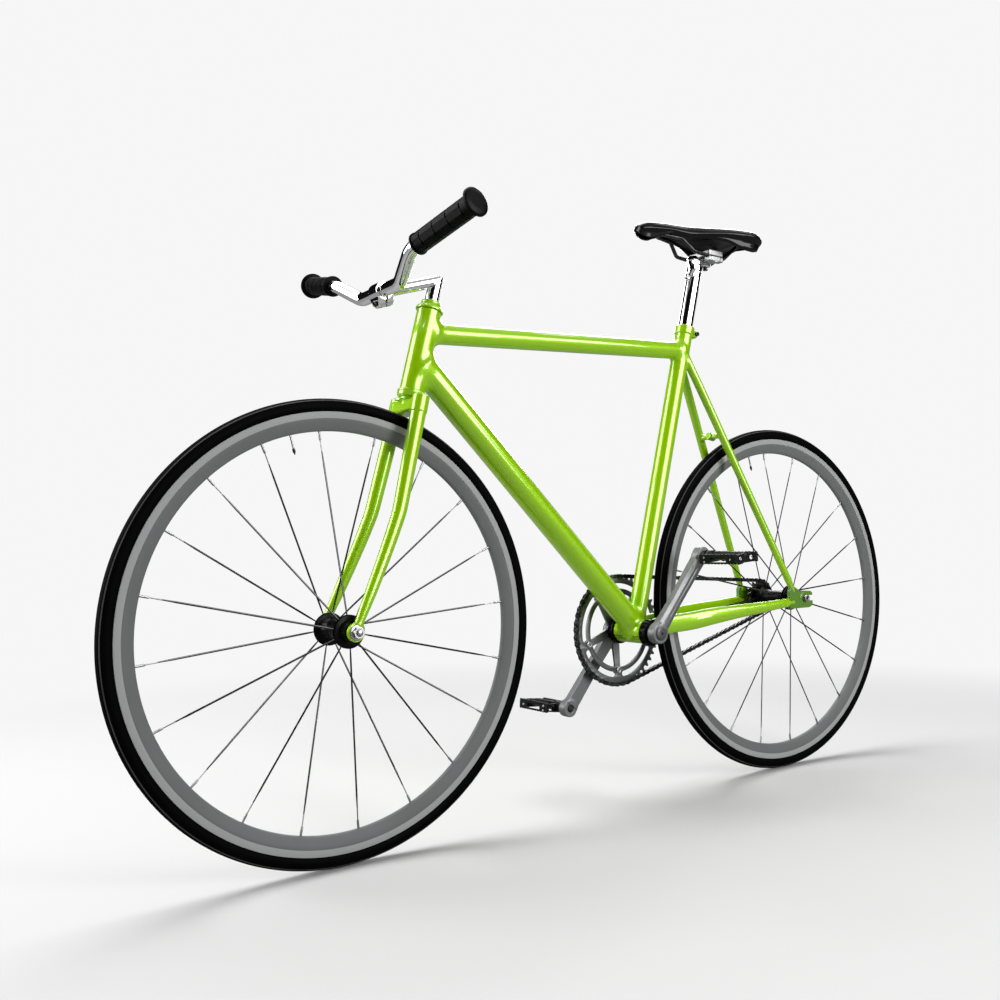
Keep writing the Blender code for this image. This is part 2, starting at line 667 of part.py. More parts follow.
quill = cylinder(steer_point(QUILL_LOW_Z), STEM_ELBOW + STEER_UP * 30 * MM, QUILL_RADIUS, 14)
combine(quill, [elbow_trim(MITRE_NORMAL, 0.4 * MM)], "DIFFERENCE")
extension_bar = cylinder(STEM_ELBOW - EXTENSION * 30 * MM, BAR_CENTRE - EXTENSION * 8 * MM,
                         EXTENSION_RADIUS, 12)
combine(extension_bar, [elbow_trim(-MITRE_NORMAL, 0.4 * MM)], "DIFFERENCE")
bar_clamp = cylinder(BAR_CENTRE - SIDE * BAR_CLAMP_HALF, BAR_CENTRE + SIDE * BAR_CLAMP_HALF,
                     BAR_CLAMP_RADIUS, 16)
bar_hole = cylinder(BAR_CENTRE - SIDE * 40 * MM, BAR_CENTRE + SIDE * 40 * MM,
                    hole(BAR_RADIUS, 14), 14)
CLAMP_BOLT_DOWN = 15.7 * MM
stem_slit = box((3 * MM, 60 * MM, 30 * MM), clamp_point(-1 * MM, 20 * MM), EXTENSION_DOWN,
                EXTENSION)
ear_bolt_hole = cylinder(clamp_point(-30 * MM, CLAMP_BOLT_DOWN),
                         clamp_point(30 * MM, CLAMP_BOLT_DOWN), 3.3 * MM, 8)
stem_bore = cylinder(steer_point(QUILL_LOW_Z - 20 * MM), steer_point(900 * MM), 4.1 * MM, 8)
bolt_seat = cylinder(steer_point(865 * MM), steer_point(900 * MM), 6.9 * MM, 10)
piece("stem", "stem_slide", CHROME, quill, [extension_bar, bar_clamp, clamp_ears()],
      [elbow_trim(ELBOW_OUTWARD, ELBOW_CORNER), bar_hole, stem_slit, ear_bolt_hole, stem_bore,
       bolt_seat])
WEDGE_LOW_Z = 733 * MM
wedge_top = steer_height(QUILL_LOW_Z) - GAP
piece("stem_expander", "stem_slide", STEEL,
      spool([(6.2 * MM, steer_height(870.5 * MM)), (6.2 * MM, steer_height(865.4 * MM)),
             (3.6 * MM, steer_height(865.4 * MM)), (3.6 * MM, wedge_top),
             (10.9 * MM, wedge_top), (10.9 * MM, steer_height(WEDGE_LOW_Z + 6 * MM)),
             (9 * MM, steer_height(WEDGE_LOW_Z))],
            STEER_BASE, STEER_UP, 10))
piece("stem_clamp_bolt", "stem_slide", BLACK_STEEL,
      spool([(4.4 * MM, 16.6 * MM), (4.4 * MM, 13.8 * MM), (2.9 * MM, 13.8 * MM),
             (2.9 * MM, -13.8 * MM), (4.2 * MM, -13.8 * MM), (4.2 * MM, -16.4 * MM)],
            clamp_point(0, CLAMP_BOLT_DOWN), EXTENSION, 8))


# Handlebar and grips

GRIP_DIRECTION = (GRIP_END - BAR_BEND).normalized()
BAR_END = GRIP_END - GRIP_DIRECTION * 6 * MM
left_half = [BAR_CENTRE, BAR_CENTRE + SIDE * BAR_ELBOW_Y, BAR_BEND, BAR_END]
bar_half_path = rounded_path(left_half, [35 * MM, 60 * MM], 3)
bar_path = mirrored(bar_half_path[::-1]) + bar_half_path[1:]
piece("handlebar", "bar_roll", CHROME, swept(bar_path, BAR_RADIUS, 2))


def grip(side):
    mirror = Vector((1, side, 1))
    start = BAR_BEND + GRIP_DIRECTION * GRIP_OFFSET
    length = (GRIP_END - start).length
    origin = start * mirror
    axis = GRIP_DIRECTION * mirror
    bore = hole(BAR_RADIUS, 10)
    groove = 14.1 * MM
    profile = [(0, length + 4 * MM), (GRIP_RADIUS, length + 4 * MM),
               (GRIP_FLANGE_RADIUS, length), (GRIP_FLANGE_RADIUS, length - 3 * MM)]
    block = (length - 8 * MM) / 4
    for i in range(4):
        top = length - 5 * MM - i * block
        profile += [(groove, top), (GRIP_RADIUS, top - 2 * MM), (GRIP_RADIUS, top - block + 2 * MM)]
    profile += [(groove, 3 * MM), (16.6 * MM, 3 * MM), (16.6 * MM, 0), (bore, 0),
                (bore, length - 5 * MM), (0, length - 5 * MM)]
    return turned(profile, origin, axis, 10, False)


piece("grip_left", "bar_roll", GRIP_RUBBER, grip(1))
piece("grip_right", "bar_roll", GRIP_RUBBER, grip(-1))


# Wheels: tyre, rim, valve, bladed spokes, hub and its bearing pair

def wheel_ring(profile, centre):
    flat = [(radius * FLAT_FACTOR, y) for radius, y in profile]
    return turned(flat, centre, SIDE, WHEEL_SIDES, True, math.pi / WHEEL_SIDES)


def valve_direction():
    """Midway between the two spokes on either side of the valve."""
    angle = math.radians(FIRST_SPOKE_DEG + VALVE_SPOKE * 360 / SPOKES)
    return Vector((math.cos(angle), 0, math.sin(angle)))


def valve(centre):
    """The tube's valve: its foot under the strip, its stem through the rim, its dark tip."""
    return spool([(3.4 * MM, 308.5 * MM), (3.4 * MM, 306.9 * MM),
                  (VALVE_RADIUS, 306.9 * MM), (VALVE_RADIUS, 268 * MM),
                  (2.1 * MM, 267.5 * MM), (2.1 * MM, 262 * MM), (1.2 * MM, 259 * MM)],
                 centre, valve_direction(), 8)


def valve_hole(centre):
    return cylinder(centre + valve_direction() * (RIM_INNER_RADIUS - 8 * MM),
                    centre + valve_direction() * (RIM_BED_RADIUS + 8 * MM),
                    hole(VALVE_RADIUS, 8), 8)


def both_sides(half):
    """Mirrors a half section, listed from the mid plane outwards and back, into a whole one."""
    return [(r, y) for r, y in reversed(half)] + [(r, -y) for r, y in half]


def tyre_profile():
    """A tyre with its tube, as one solid down to the rim strip."""
    return both_sides([(WHEEL_RADIUS, 4.2 * MM), (326.5 * MM, 10.8 * MM),
                       (321 * MM, TYRE_HALF_WIDTH), (RIM_EDGE_RADIUS + 0.4 * MM, 7.7 * MM),
                       (TYRE_BASE_RADIUS, 7.5 * MM)])


def coarse_ring(profile, centre):
    """A ring with one flat per spoke, for the hidden pieces inside the rim."""
    turn = math.pi / SPOKES - math.radians(FIRST_SPOKE_DEG)
    flat = [(radius / math.cos(math.pi / SPOKES), y) for radius, y in profile]
    return turned(flat, centre, SIDE, SPOKES, True, turn)


def rim_profile():
    return both_sides([(RIM_BED_RADIUS, 7.8 * MM), (RIM_EDGE_RADIUS, 8.3 * MM),
                       (RIM_EDGE_RADIUS, RIM_HALF_WIDTH), (BRAKE_BAND_RADIUS, RIM_HALF_WIDTH),
                       (RIM_INNER_RADIUS, 4 * MM)])


def spoke_direction(index):
    angle = math.radians(FIRST_SPOKE_DEG) + math.tau * index / SPOKES
    return Vector((math.cos(angle), 0, math.sin(angle)))


def spoke_set(centre):
    """Spokes with their nipples, held together by the strip that lies in the rim bed."""
    bm = bmesh.new()
    stations = ((SPOKE_ROOT_RADIUS, FLANGE_Y, 1.4, 0.9), (NIPPLE_START_RADIUS, 0, 2, 2),
                (STRIP_RADIUS + 0.6 * MM, 0, 2, 2))
    for index in range(SPOKES):
        radial = spoke_direction(index)
        across = radial.cross(SIDE)
        side = 1 if index % 2 == 0 else -1
        rows = []
        for radius, y, half_width, half_thickness in stations:
            middle = centre + radial * radius + SIDE * side * y
            row = []
            for k in range(3):
                angle = math.radians(30 + 120 * k)
                row.append(bm.verts.new(middle + across * half_width * math.cos(angle) * MM
                                        + SIDE * side * half_thickness * math.sin(angle) * MM))
            rows.append(row)
        for low, high in zip(rows, rows[1:]):
            for i in range(3):
                j = (i + 1) % 3
                bm.faces.new((low[i], low[j], high[j], high[i]))
        bm.faces.new(rows[0][::-1])
        bm.faces.new(rows[-1])
    bmesh.ops.recalc_face_normals(bm, faces=bm.faces)
    return from_bmesh("spokes", bm)


def nipple_holes(centre):
    """Three-sided holes, because the nipples that pass through them have three sides."""
    bm = bmesh.new()
    for index in range(SPOKES):
        radial = spoke_direction(index)
        across = radial.cross(SIDE)
        side = 1 if index % 2 == 0 else -1
        rows = []
        for radius in (RIM_INNER_RADIUS - 4 * MM, RIM_BED_RADIUS + 6 * MM):
            middle = centre + radial * radius
            rows.append([bm.verts.new(middle + across * NIPPLE_HOLE_RADIUS * math.cos(angle)
                                      + SIDE * side * NIPPLE_HOLE_RADIUS * math.sin(angle))
                         for angle in [math.radians(30 + 120 * k) for k in range(3)]])
        for i in range(3):
            j = (i + 1) % 3
            bm.faces.new((rows[0][i], rows[0][j], rows[1][j], rows[1][i]))
        bm.faces.new(rows[0][::-1])
        bm.faces.new(rows[1])
    bmesh.ops.recalc_face_normals(bm, faces=bm.faces)
    return from_bmesh("nipple_holes", bm)


def hub_profile(left_end, right_end, boss_radius=None):
    """The hub's outer line from the left end to the right end, then back along its bore."""
    line = [(BEARING_OUTER_RADIUS + 3 * MM, left_end)]
    for side in (1, -1):
        flange = [(FLANGE_RADIUS, FLANGE_Y + FLANGE_HALF_THICKNESS),
                  (FLANGE_RADIUS, FLANGE_Y + FLANGE_GROOVE_HALF),
                  (FLANGE_GROOVE_RADIUS, FLANGE_Y + FLANGE_GROOVE_HALF),
                  (FLANGE_GROOVE_RADIUS, FLANGE_Y - FLANGE_GROOVE_HALF),
                  (FLANGE_RADIUS, FLANGE_Y - FLANGE_GROOVE_HALF),
                  (FLANGE_RADIUS, FLANGE_Y - FLANGE_HALF_THICKNESS),
                  (HUB_BARREL_RADIUS, FLANGE_Y - 7 * MM)]
        if side == 1:
            line += flange
        else:
            line += [(radius, -y) for radius, y in reversed(flange)]
    bearing_bore = hole(BEARING_OUTER_RADIUS, 12)
    if boss_radius:
        line += [(boss_radius, -FLANGE_Y - FLANGE_HALF_THICKNESS), (boss_radius, right_end)]
    else:
        line += [(BEARING_OUTER_RADIUS + 3 * MM, right_end)]
    line += [(bearing_bore, right_end), (bearing_bore, left_end)]
    return line


def bearing_pair(bore):
    """Two sealed bearings and the sleeve that spaces their inner races."""
    outer = [(BEARING_OUTER_RADIUS, BEARING_INNER_Y + 8 * MM),
             (BEARING_OUTER_RADIUS, BEARING_INNER_Y), (BEARING_SLEEVE_RADIUS, BEARING_INNER_Y)]
    lower = [(radius, -y) for radius, y in reversed(outer)]
    end = BEARING_INNER_Y + 8 * MM
    return outer + lower + [(bore, -end), (bore, end)]


COG_BOSS_RADIUS = 16.5 * MM
for wheel, centre, bore in (("front", FRONT_AXLE, FRONT_AXLE_RADIUS),
                            ("rear", REAR_AXLE, REAR_AXLE_RADIUS)):
    joint = f"{wheel}_wheel_axis"
    piece(f"{wheel}_tyre", joint, RUBBER, wheel_ring(tyre_profile(), centre))
    piece(f"{wheel}_rim", joint, GREY_ALLOY, wheel_ring(rim_profile(), centre), [],
          [nipple_holes(centre), valve_hole(centre)])
    piece(f"{wheel}_valve", joint, STEEL, valve(centre))
    strip = coarse_ring([(STRIP_RADIUS + 1.2 * MM, 4.8 * MM), (STRIP_RADIUS + 1.2 * MM, -4.8 * MM),
                         (STRIP_RADIUS, -4.8 * MM), (STRIP_RADIUS, 4.8 * MM)], centre)
    piece(f"{wheel}_spokes", joint, STEEL, strip, [spoke_set(centre)])
    if wheel == "front":
        hub = hub_profile(HUB_HALF_LENGTH, -HUB_HALF_LENGTH)
    else:
        hub = hub_profile(HUB_HALF_LENGTH, -52 * MM, COG_BOSS_RADIUS)
    piece(f"{wheel}_hub", joint, BLACK_ALLOY, turned(hub, centre, SIDE, 12))
    piece(f"{wheel}_hub_bearings", joint, STEEL,
          turned(bearing_pair(hole(bore, 10)), centre, SIDE, 10))

axle_end = DROPOUT_INNER_Y - GAP
piece("rear_axle", "frame_root", STEEL,
      cylinder(REAR_AXLE - SIDE * 56 * MM, REAR_AXLE + SIDE * 56 * MM, REAR_AXLE_RADIUS, 10),
      [cylinder(REAR_AXLE + SIDE * 41 * MM, REAR_AXLE + SIDE * axle_end, 9 * MM, 10),
       cylinder(REAR_AXLE - SIDE * 53 * MM, REAR_AXLE - SIDE * axle_end, 9 * MM, 10)],
      [cylinder(REAR_AXLE + SIDE * side * 44 * MM, REAR_AXLE + SIDE * side * 70 * MM,
                hole(3.9 * MM, 10), 10) for side in (1, -1)])
for side, label in ((1, "left"), (-1, "right")):
    head = DROPOUT_OUTER_Y + GAP
    piece(f"rear_axle_bolt_{label}", "frame_root", STEEL,
          spool([(3.4 * MM, head + 6.7 * MM), (6.2 * MM, head + 4.2 * MM), (6.8 * MM, head),
                 (3.9 * MM, head), (3.9 * MM, 45 * MM)],
                REAR_AXLE, SIDE * side, 10))


# Chain line: pins on the chainring, along the upper run, on the cog and along the lower run

def pitch_radius(teeth):
    return CHAIN_PITCH / 2 / math.sin(math.pi / teeth)


RING_PITCH_RADIUS = pitch_radius(RING_TEETH)
COG_PITCH_RADIUS = pitch_radius(COG_TEETH)


def flat_angle(vector):
    return math.atan2(vector.z, vector.x)


def on_circle(centre, radius, angle):
    return centre + Vector((math.cos(angle), 0, math.sin(angle))) * radius


def tangent_normals():
    """Unit normals of the upper and lower chain runs, pointing out of the loop."""
    back = REAR_AXLE - BB
    distance = back.length
    back.normalize()
    lean = (RING_PITCH_RADIUS - COG_PITCH_RADIUS) / distance
    across = math.sqrt(1 - lean * lean)
    upward = Vector((back.z, 0, -back.x))
    return back * lean + upward * across, back * lean - upward * across


def chain_pins():
    upper, lower = tangent_normals()
    ring_start = flat_angle(upper)
    ring_step = math.tau / RING_TEETH
    pins = [on_circle(BB, RING_PITCH_RADIUS, ring_start)]
    back = (REAR_AXLE + upper * COG_PITCH_RADIUS - pins[0]).normalized()
    run = (REAR_AXLE + upper * COG_PITCH_RADIUS - pins[0]).length
    for i in range(int(run / CHAIN_PITCH)):
        pins.append(pins[0] + back * CHAIN_PITCH * (i + 1))
    cog_angle = flat_angle(upper)
    for _ in range(60):
        gap = (on_circle(REAR_AXLE, COG_PITCH_RADIUS, cog_angle) - pins[-1]).length
        cog_angle += (CHAIN_PITCH - gap) / COG_PITCH_RADIUS
    cog_step = math.tau / COG_TEETH
    cog_phase = cog_angle
    cog_end = flat_angle(lower) + math.tau
    while cog_angle < cog_end:
        pins.append(on_circle(REAR_AXLE, COG_PITCH_RADIUS, cog_angle))
        cog_angle += cog_step
    wrapped = math.tau - ((cog_end - ring_start) % math.tau)
    ring_pins = int(wrapped / ring_step)
    front = [on_circle(BB, RING_PITCH_RADIUS, ring_start - ring_step * (i + 1))
             for i in range(ring_pins)]
    left_over = CHAIN_LINKS - len(pins) - len(front)
    start = pins[-1]
    finish = front[-1]
    for i in range(left_over):
        pins.append(start + (finish - start) * (i + 1) / (left_over + 1))
    pins += front[::-1]
    return pins, ring_start, cog_phase


CHAIN_PINS, RING_PHASE, COG_PHASE = chain_pins()


def chain():
    """Two rows of side plates joined by a roller at every pin."""
    count = len(CHAIN_PINS)
    middle = SIDE * CHAIN_Y
    bm = bmesh.new()
    rows = []
    for i, pin in enumerate(CHAIN_PINS):
        before = (pin - CHAIN_PINS[i - 1]).normalized()
        after = (CHAIN_PINS[(i + 1) % count] - pin).normalized()
        outward = (before + after).normalized().cross(SIDE)
        rise = outward * PLATE_HALF_HEIGHT
        row = {}
        for side in (1, -1):
            near = pin + middle + SIDE * side * CHAIN_INNER_HALF
            far = pin + middle + SIDE * side * CHAIN_OUTER_HALF
            row[side] = [bm.verts.new(point) for point in (
                near + rise, near - rise, far, near + after * ROLLER_LENGTH)]
        rows.append(row)
    for i in range(count):
        here = rows[i]
        there = rows[(i + 1) % count]
        for side in (1, -1):
            top, low, far, right = here[side]
            next_top, next_low, next_far, _ = there[side]
            bm.faces.new((top, right, low, next_low, next_top))
            bm.faces.new((top, next_top, next_far, far))
            bm.faces.new((low, far, next_far, next_low))
        top, low, _, right = here[1]
        far_top, far_low, _, far_right = here[-1]
        bm.faces.new((top, right, far_right, far_top))
        bm.faces.new((right, low, far_low, far_right))
        bm.faces.new((low, top, far_top, far_low))
    bmesh.ops.recalc_face_normals(bm, faces=bm.faces)
    return from_bmesh("chain", bm)


piece("chain", "frame_root", BLACK_STEEL, chain())


def toothed_outline(teeth, phase):
    """Valleys under the pins and tips between them."""
    radius = pitch_radius(teeth)
    step = math.tau / teeth
    outline = []
    for i in range(2 * teeth):
        reach = radius + (TOOTH_TIP if i % 2 else -TOOTH_VALLEY)
        angle = phase + step * i / 2
        outline.append((reach * math.cos(angle), reach * math.sin(angle)))
    return outline


def circle(radius, sides, centre=(0, 0), turn=0.0):
    return [(centre[0] + radius * math.cos(turn + math.tau * i / sides),
             centre[1] + radius * math.sin(turn + math.tau * i / sides)) for i in range(sides)]


cog = plate([toothed_outline(COG_TEETH, COG_PHASE), circle(hole(COG_BOSS_RADIUS, 16), 16)],
            2 * TOOTH_HALF_THICKNESS, REAR_AXLE + SIDE * CHAIN_Y, (1, 0, 0), (0, 0, 1))
piece("rear_cog", "rear_wheel_axis", BLACK_STEEL, cog)
lockring_inner_y = CHAIN_Y - TOOTH_HALF_THICKNESS - GAP
piece("rear_lockring", "rear_wheel_axis", BLACK_STEEL,
      ring(hole(COG_BOSS_RADIUS, 16), 21 * MM, lockring_inner_y - 4.5 * MM, lockring_inner_y,
           REAR_AXLE, SIDE, 16))


# Bottom bracket: threaded cups, a sealed cartridge and the spindle

CUP_FLANGE_OUT = 47 * MM
CARTRIDGE_RADIUS = 15.2 * MM
SPINDLE_RADIUS = 8.5 * MM
for side, label in ((1, "left"), (-1, "right")):
    cup_bore = hole(CARTRIDGE_RADIUS, 14)
    cup = turned([(cup_bore, CUP_FLANGE_OUT), (22.8 * MM, CUP_FLANGE_OUT),
                  (23.4 * MM, BB_SHELL_HALF + GAP),
                  (CUP_SLEEVE, BB_SHELL_HALF + GAP), (CUP_SLEEVE, 20 * MM),
                  (cup_bore, 20 * MM)],
                 BB, SIDE * side, 14)
    piece(f"bottom_bracket_cup_{label}", "frame_root", BLACK_ALLOY, cup)
piece("bottom_bracket_cartridge", "frame_root", STEEL,
      ring(hole(SPINDLE_RADIUS, 12), CARTRIDGE_RADIUS, -41 * MM, 41 * MM, BB, SIDE, 12))
SPINDLE_END = 63 * MM
SPINDLE_TIP_RADIUS = 7.2 * MM
SPINDLE_TAPER_Y = 46 * MM
spindle = spool([(SPINDLE_TIP_RADIUS, SPINDLE_END), (SPINDLE_RADIUS, SPINDLE_TAPER_Y),
                 (SPINDLE_RADIUS, -SPINDLE_TAPER_Y), (SPINDLE_TIP_RADIUS, -SPINDLE_END)],
                BB, SIDE, 10)
piece("crank_spindle", "crank_axis", STEEL, spindle, [],
      [cylinder(BB + SIDE * side * 44 * MM, BB + SIDE * side * 80 * MM, 4.4 * MM, 6)
       for side in (1, -1)])


# Cranks, chainring and their bolts

def crank_arm_body(side):
    """A tapered arm whose outer face is ridged along its length."""
    along = CRANK_DIRECTION * side
    across = along.cross(SIDE)
    stations = ((6, 49.8, 65.5, 13), (60, 55, 69, 11.4),
                (158, CRANK_TIP_INNER_Y / MM, CRANK_TIP_OUTER_Y / MM, 12.5))
    rings = []
    for distance, inner, outer, half in stations:
        base = BB + along * distance * MM
        ridge = 3.2
        points = ((-half, inner + 1.5), (-half + 2, inner), (half - 2, inner), (half, inner + 1.5),
                  (half, outer - ridge), (half * 0.45, outer), (-half * 0.45, outer),
                  (-half, outer - ridge))
        rings.append([base + across * u * MM + SIDE * side * v * MM for u, v in points])
    return lofted(rings)


def crank_arm_parts(side):
    boss = cylinder(BB + SIDE * side * CRANK_INNER_Y, BB + SIDE * side * CRANK_OUTER_Y,
                    CRANK_BOSS_RADIUS, 14)
    eye = cylinder(PEDAL_EYE[side] + SIDE * side * CRANK_TIP_INNER_Y,
                   PEDAL_EYE[side] + SIDE * side * (CRANK_TIP_OUTER_Y + 0.8 * MM),
                   CRANK_EYE_RADIUS, 12)
    return boss, [crank_arm_body(side), eye]


def crank_holes(side):
    spindle_hole = cylinder(BB + SIDE * side * 40 * MM, BB + SIDE * side * 80 * MM,
                            hole(SPINDLE_RADIUS, 12), 12)
    axle_hole = cylinder(PEDAL_EYE[side] + SIDE * side * 55 * MM,
                         PEDAL_EYE[side] + SIDE * side * 90 * MM,
                         hole(PEDAL_AXLE_RADIUS, 12), 12)
    return [spindle_hole, axle_hole]


BOLT_DIRECTIONS = []
for index in range(5):
    angle = flat_angle(-CRANK_DIRECTION) + math.radians(36 + 72 * index)
    BOLT_DIRECTIONS.append(Vector((math.cos(angle), 0, math.sin(angle))))

RING_THICKNESS = 3.2 * MM
PAD_INNER_Y = -CHAIN_Y + RING_THICKNESS / 2 + GAP
PAD_OUTER_Y = PAD_INNER_Y + 5.6 * MM


def spider_arm(direction):
    across = direction.cross(SIDE)
    stations = ((10, 50.5, 57.5, 9), (60, PAD_INNER_Y / MM, PAD_OUTER_Y / MM, 6.4),
                (79, PAD_INNER_Y / MM, PAD_OUTER_Y / MM, 6.8))
    rings = []
    for distance, inner, outer, half in stations:
        base = BB + direction * distance * MM
        points = ((-half, inner), (half, inner), (half * 0.7, outer), (-half * 0.7, outer))
        rings.append([base + across * u * MM - SIDE * v * MM for u, v in points])
    return lofted(rings)


RING_BOLT_RADIUS = 3.9 * MM
BOLT_HOLE_RADIUS = hole(RING_BOLT_RADIUS, 6)
bolt_holes = [cylinder(BB + direction * BOLT_CIRCLE_RADIUS - SIDE * 30 * MM,
                       BB + direction * BOLT_CIRCLE_RADIUS - SIDE * 70 * MM,
                       BOLT_HOLE_RADIUS, 6) for direction in BOLT_DIRECTIONS]
boss, others = crank_arm_parts(1)
piece("crank_arm_left", "crank_axis", GREY_ALLOY, boss, others, crank_holes(1))
boss, others = crank_arm_parts(-1)
piece("crank_arm_right", "crank_axis", GREY_ALLOY, boss,
      others + [spider_arm(direction) for direction in BOLT_DIRECTIONS],
      crank_holes(-1) + bolt_holes)


def ring_window(index):
    """One of five curved windows between the toothed band and the inner hoop."""
    middle = flat_angle(BOLT_DIRECTIONS[index]) + math.radians(36)
    half_outer = math.radians(27.5)
    half_inner = math.radians(25.5)
    outer = [(84.5 * MM, middle + half_outer * (i / 2 - 1)) for i in range(5)]
    inner = [(74.5 * MM, middle + half_inner * (1 - i / 2)) for i in range(5)]
    return [(radius * math.cos(a), radius * math.sin(a)) for radius, a in outer + inner]


ring_outlines = [toothed_outline(RING_TEETH, RING_PHASE)]
ring_outlines += [ring_window(index) for index in range(5)]
ring_outlines += [circle(66 * MM, 30)]
ring_outlines += [circle(BOLT_HOLE_RADIUS, 6, (d.x * BOLT_CIRCLE_RADIUS, d.z * BOLT_CIRCLE_RADIUS))
                  for d in BOLT_DIRECTIONS]
piece("chainring", "crank_axis", GREY_ALLOY,
      plate(ring_outlines, 2 * TOOTH_HALF_THICKNESS, BB + SIDE * CHAIN_Y, (1, 0, 0), (0, 0, 1)))
for index, direction in enumerate(BOLT_DIRECTIONS):
    outer_face = PAD_OUTER_Y + GAP
    inner_face = -CHAIN_Y - TOOTH_HALF_THICKNESS - GAP
    piece(f"chainring_bolt_{index + 1}", "crank_axis", STEEL,
          spool([(6 * MM, outer_face + 1.8 * MM), (6 * MM, outer_face),
                 (RING_BOLT_RADIUS, outer_face), (RING_BOLT_RADIUS, inner_face),
                 (5.8 * MM, inner_face), (5.8 * MM, inner_face - 1.6 * MM)],
                BB + direction * BOLT_CIRCLE_RADIUS, -SIDE, 6))
for side, label in ((1, "left"), (-1, "right")):
    cap_low = CRANK_OUTER_Y + GAP
    cap = spool([(10.4 * MM, cap_low + 6.2 * MM), (11.6 * MM, cap_low + 5 * MM),
                 (11.6 * MM, cap_low), (3.4 * MM, cap_low), (3.4 * MM, 47 * MM)],
                BB, SIDE * side, 10)
    socket = cylinder(BB + SIDE * side * (cap_low + 2 * MM), BB + SIDE * side * 90 * MM,
                      2.9 * MM, 6)
    piece(f"crank_bolt_{label}", "crank_axis", BLACK_STEEL, cap, [], [socket])


# Pedals

def pedal_cage(side):
    centre_y = side * (PEDAL_INNER_Y + PEDAL_OUTER_Y) / 2
    width = PEDAL_OUTER_Y - PEDAL_INNER_Y
    middle = PEDAL_EYE[side] + Vector((0, centre_y, -PEDAL_DROP[side]))
    tilt = math.radians(-4 if side == 1 else 5)
    x_axis = Vector((math.cos(tilt), 0, math.sin(tilt)))
    z_axis = Vector((-math.sin(tilt), 0, math.cos(tilt)))
    size = (2 * PEDAL_HALF_LENGTH, width, 2 * PEDAL_HALF_HEIGHT)
    outer_shape = box(size, middle, z_axis, x_axis, 2 * MM)
    opening_width = width - 2 * PEDAL_WALL
    openings = []
    for direction in (1, -1):
        place = middle + x_axis * direction * PEDAL_OPENING_X
        size = (PEDAL_OPENING_LENGTH, opening_width, CUT_THROUGH)
        openings.append(box(size, place, z_axis, x_axis))
    for share in (-0.27, 0.27):
        place = middle + SIDE * share * width
        openings.append(box((CUT_THROUGH, *PEDAL_WINDOW), place, z_axis, x_axis))
    start = PEDAL_EYE[side] + SIDE * side * (PEDAL_INNER_Y - 10 * MM)
    end = PEDAL_EYE[side] + SIDE * side * (PEDAL_OUTER_Y - 9 * MM)
    axle_space = cylinder(start, end, hole(PEDAL_AXLE_RADIUS, 12), 12)
    return outer_shape, openings, axle_space


for side, label in ((1, "left"), (-1, "right")):
    shape, openings, axle_space = pedal_cage(side)
    barrel = cylinder(PEDAL_EYE[side] + SIDE * side * PEDAL_INNER_Y,
                      PEDAL_EYE[side] + SIDE * side * (PEDAL_OUTER_Y - 2 * MM), 9.8 * MM, 10)
    combine(shape, openings, "DIFFERENCE")
    piece(f"pedal_{label}", f"pedal_axis_{label}", BLACK_ALLOY, shape, [barrel], [axle_space])
    eye_face = CRANK_TIP_OUTER_Y + 0.8 * MM
    axle = spool([(4.4 * MM, PEDAL_OUTER_Y - 12 * MM), (PEDAL_AXLE_RADIUS, 120 * MM),
                  (PEDAL_AXLE_RADIUS, eye_face + 5 * MM), (8.8 * MM, eye_face + 5 * MM),
                  (8.8 * MM, eye_face + GAP), (PEDAL_AXLE_RADIUS, eye_face + GAP),
                  (PEDAL_AXLE_RADIUS, CRANK_TIP_INNER_Y - 1 * MM)],
                 PEDAL_EYE[side], SIDE * side, 10)
    piece(f"pedal_axle_{label}", "crank_axis", STEEL, axle)


# Seatpost, rail clamp and saddle

def post_head():
    """The head leans back from the post's top, and its horn rises in front of the clamp."""
    base = seat_point(950 * MM).x / MM
    stations = ((950, base - 12.6, base + 12.6, 12.6), (962, -288, -258, 13.3),
                (971.5, -291, -255.5, 13.2), (972.5, -315, -255, 12.8),
                (978, -315, -254.5, 12.4), (980, -287, -254.5, 12), (989, -276, -261, 9))
    rings = []
    for z, back, front, half in stations:
        middle = (back + front) / 2
        reach = (front - back) / 2
        rings.append([Vector((middle + reach * math.cos(a), half * math.sin(a), z)) * MM
                      for a in [math.tau * i / 12 for i in range(12)]])
    return lofted(rings)


post = cylinder(seat_point(SEATPOST_LOW_Z), seat_point(958 * MM), SEATPOST_RADIUS, 16)
CRADLE_RADIUS = 11.5 * MM
CLAMP_HALF_LENGTH = 19 * MM
CLAMP_HALF_WIDTH = 29 * MM
head_seat = cylinder(TILT_PIVOT - SIDE * 40 * MM, TILT_PIVOT + SIDE * 40 * MM,
                     hole(CRADLE_RADIUS, 16), 16)
post_bore = cylinder(seat_point(SEATPOST_LOW_Z - 20 * MM), seat_point(945 * MM),
                     SEATPOST_BORE, 10)
bolt_slot = box((12 * MM, 7 * MM, 30 * MM), TILT_PIVOT - Vector((0, 0, 20 * MM)))
piece("seatpost", "seatpost_slide", CHROME, post, [post_head()],
      [post_bore, head_seat, bolt_slot])


def rail_grooves():
    grooves = []
    for side in (1, -1):
        place = TILT_PIVOT + SIDE * side * RAIL_Y
        reach = RAIL_DIRECTION * 40 * MM
        grooves.append(cylinder(place - reach, place + reach, hole(RAIL_RADIUS, 8), 8))
    return grooves


def clamp_hole():
    return cylinder(TILT_PIVOT - Vector((0, 0, 40 * MM)), TILT_PIVOT + Vector((0, 0, 40 * MM)),
                    3.4 * MM, 8)


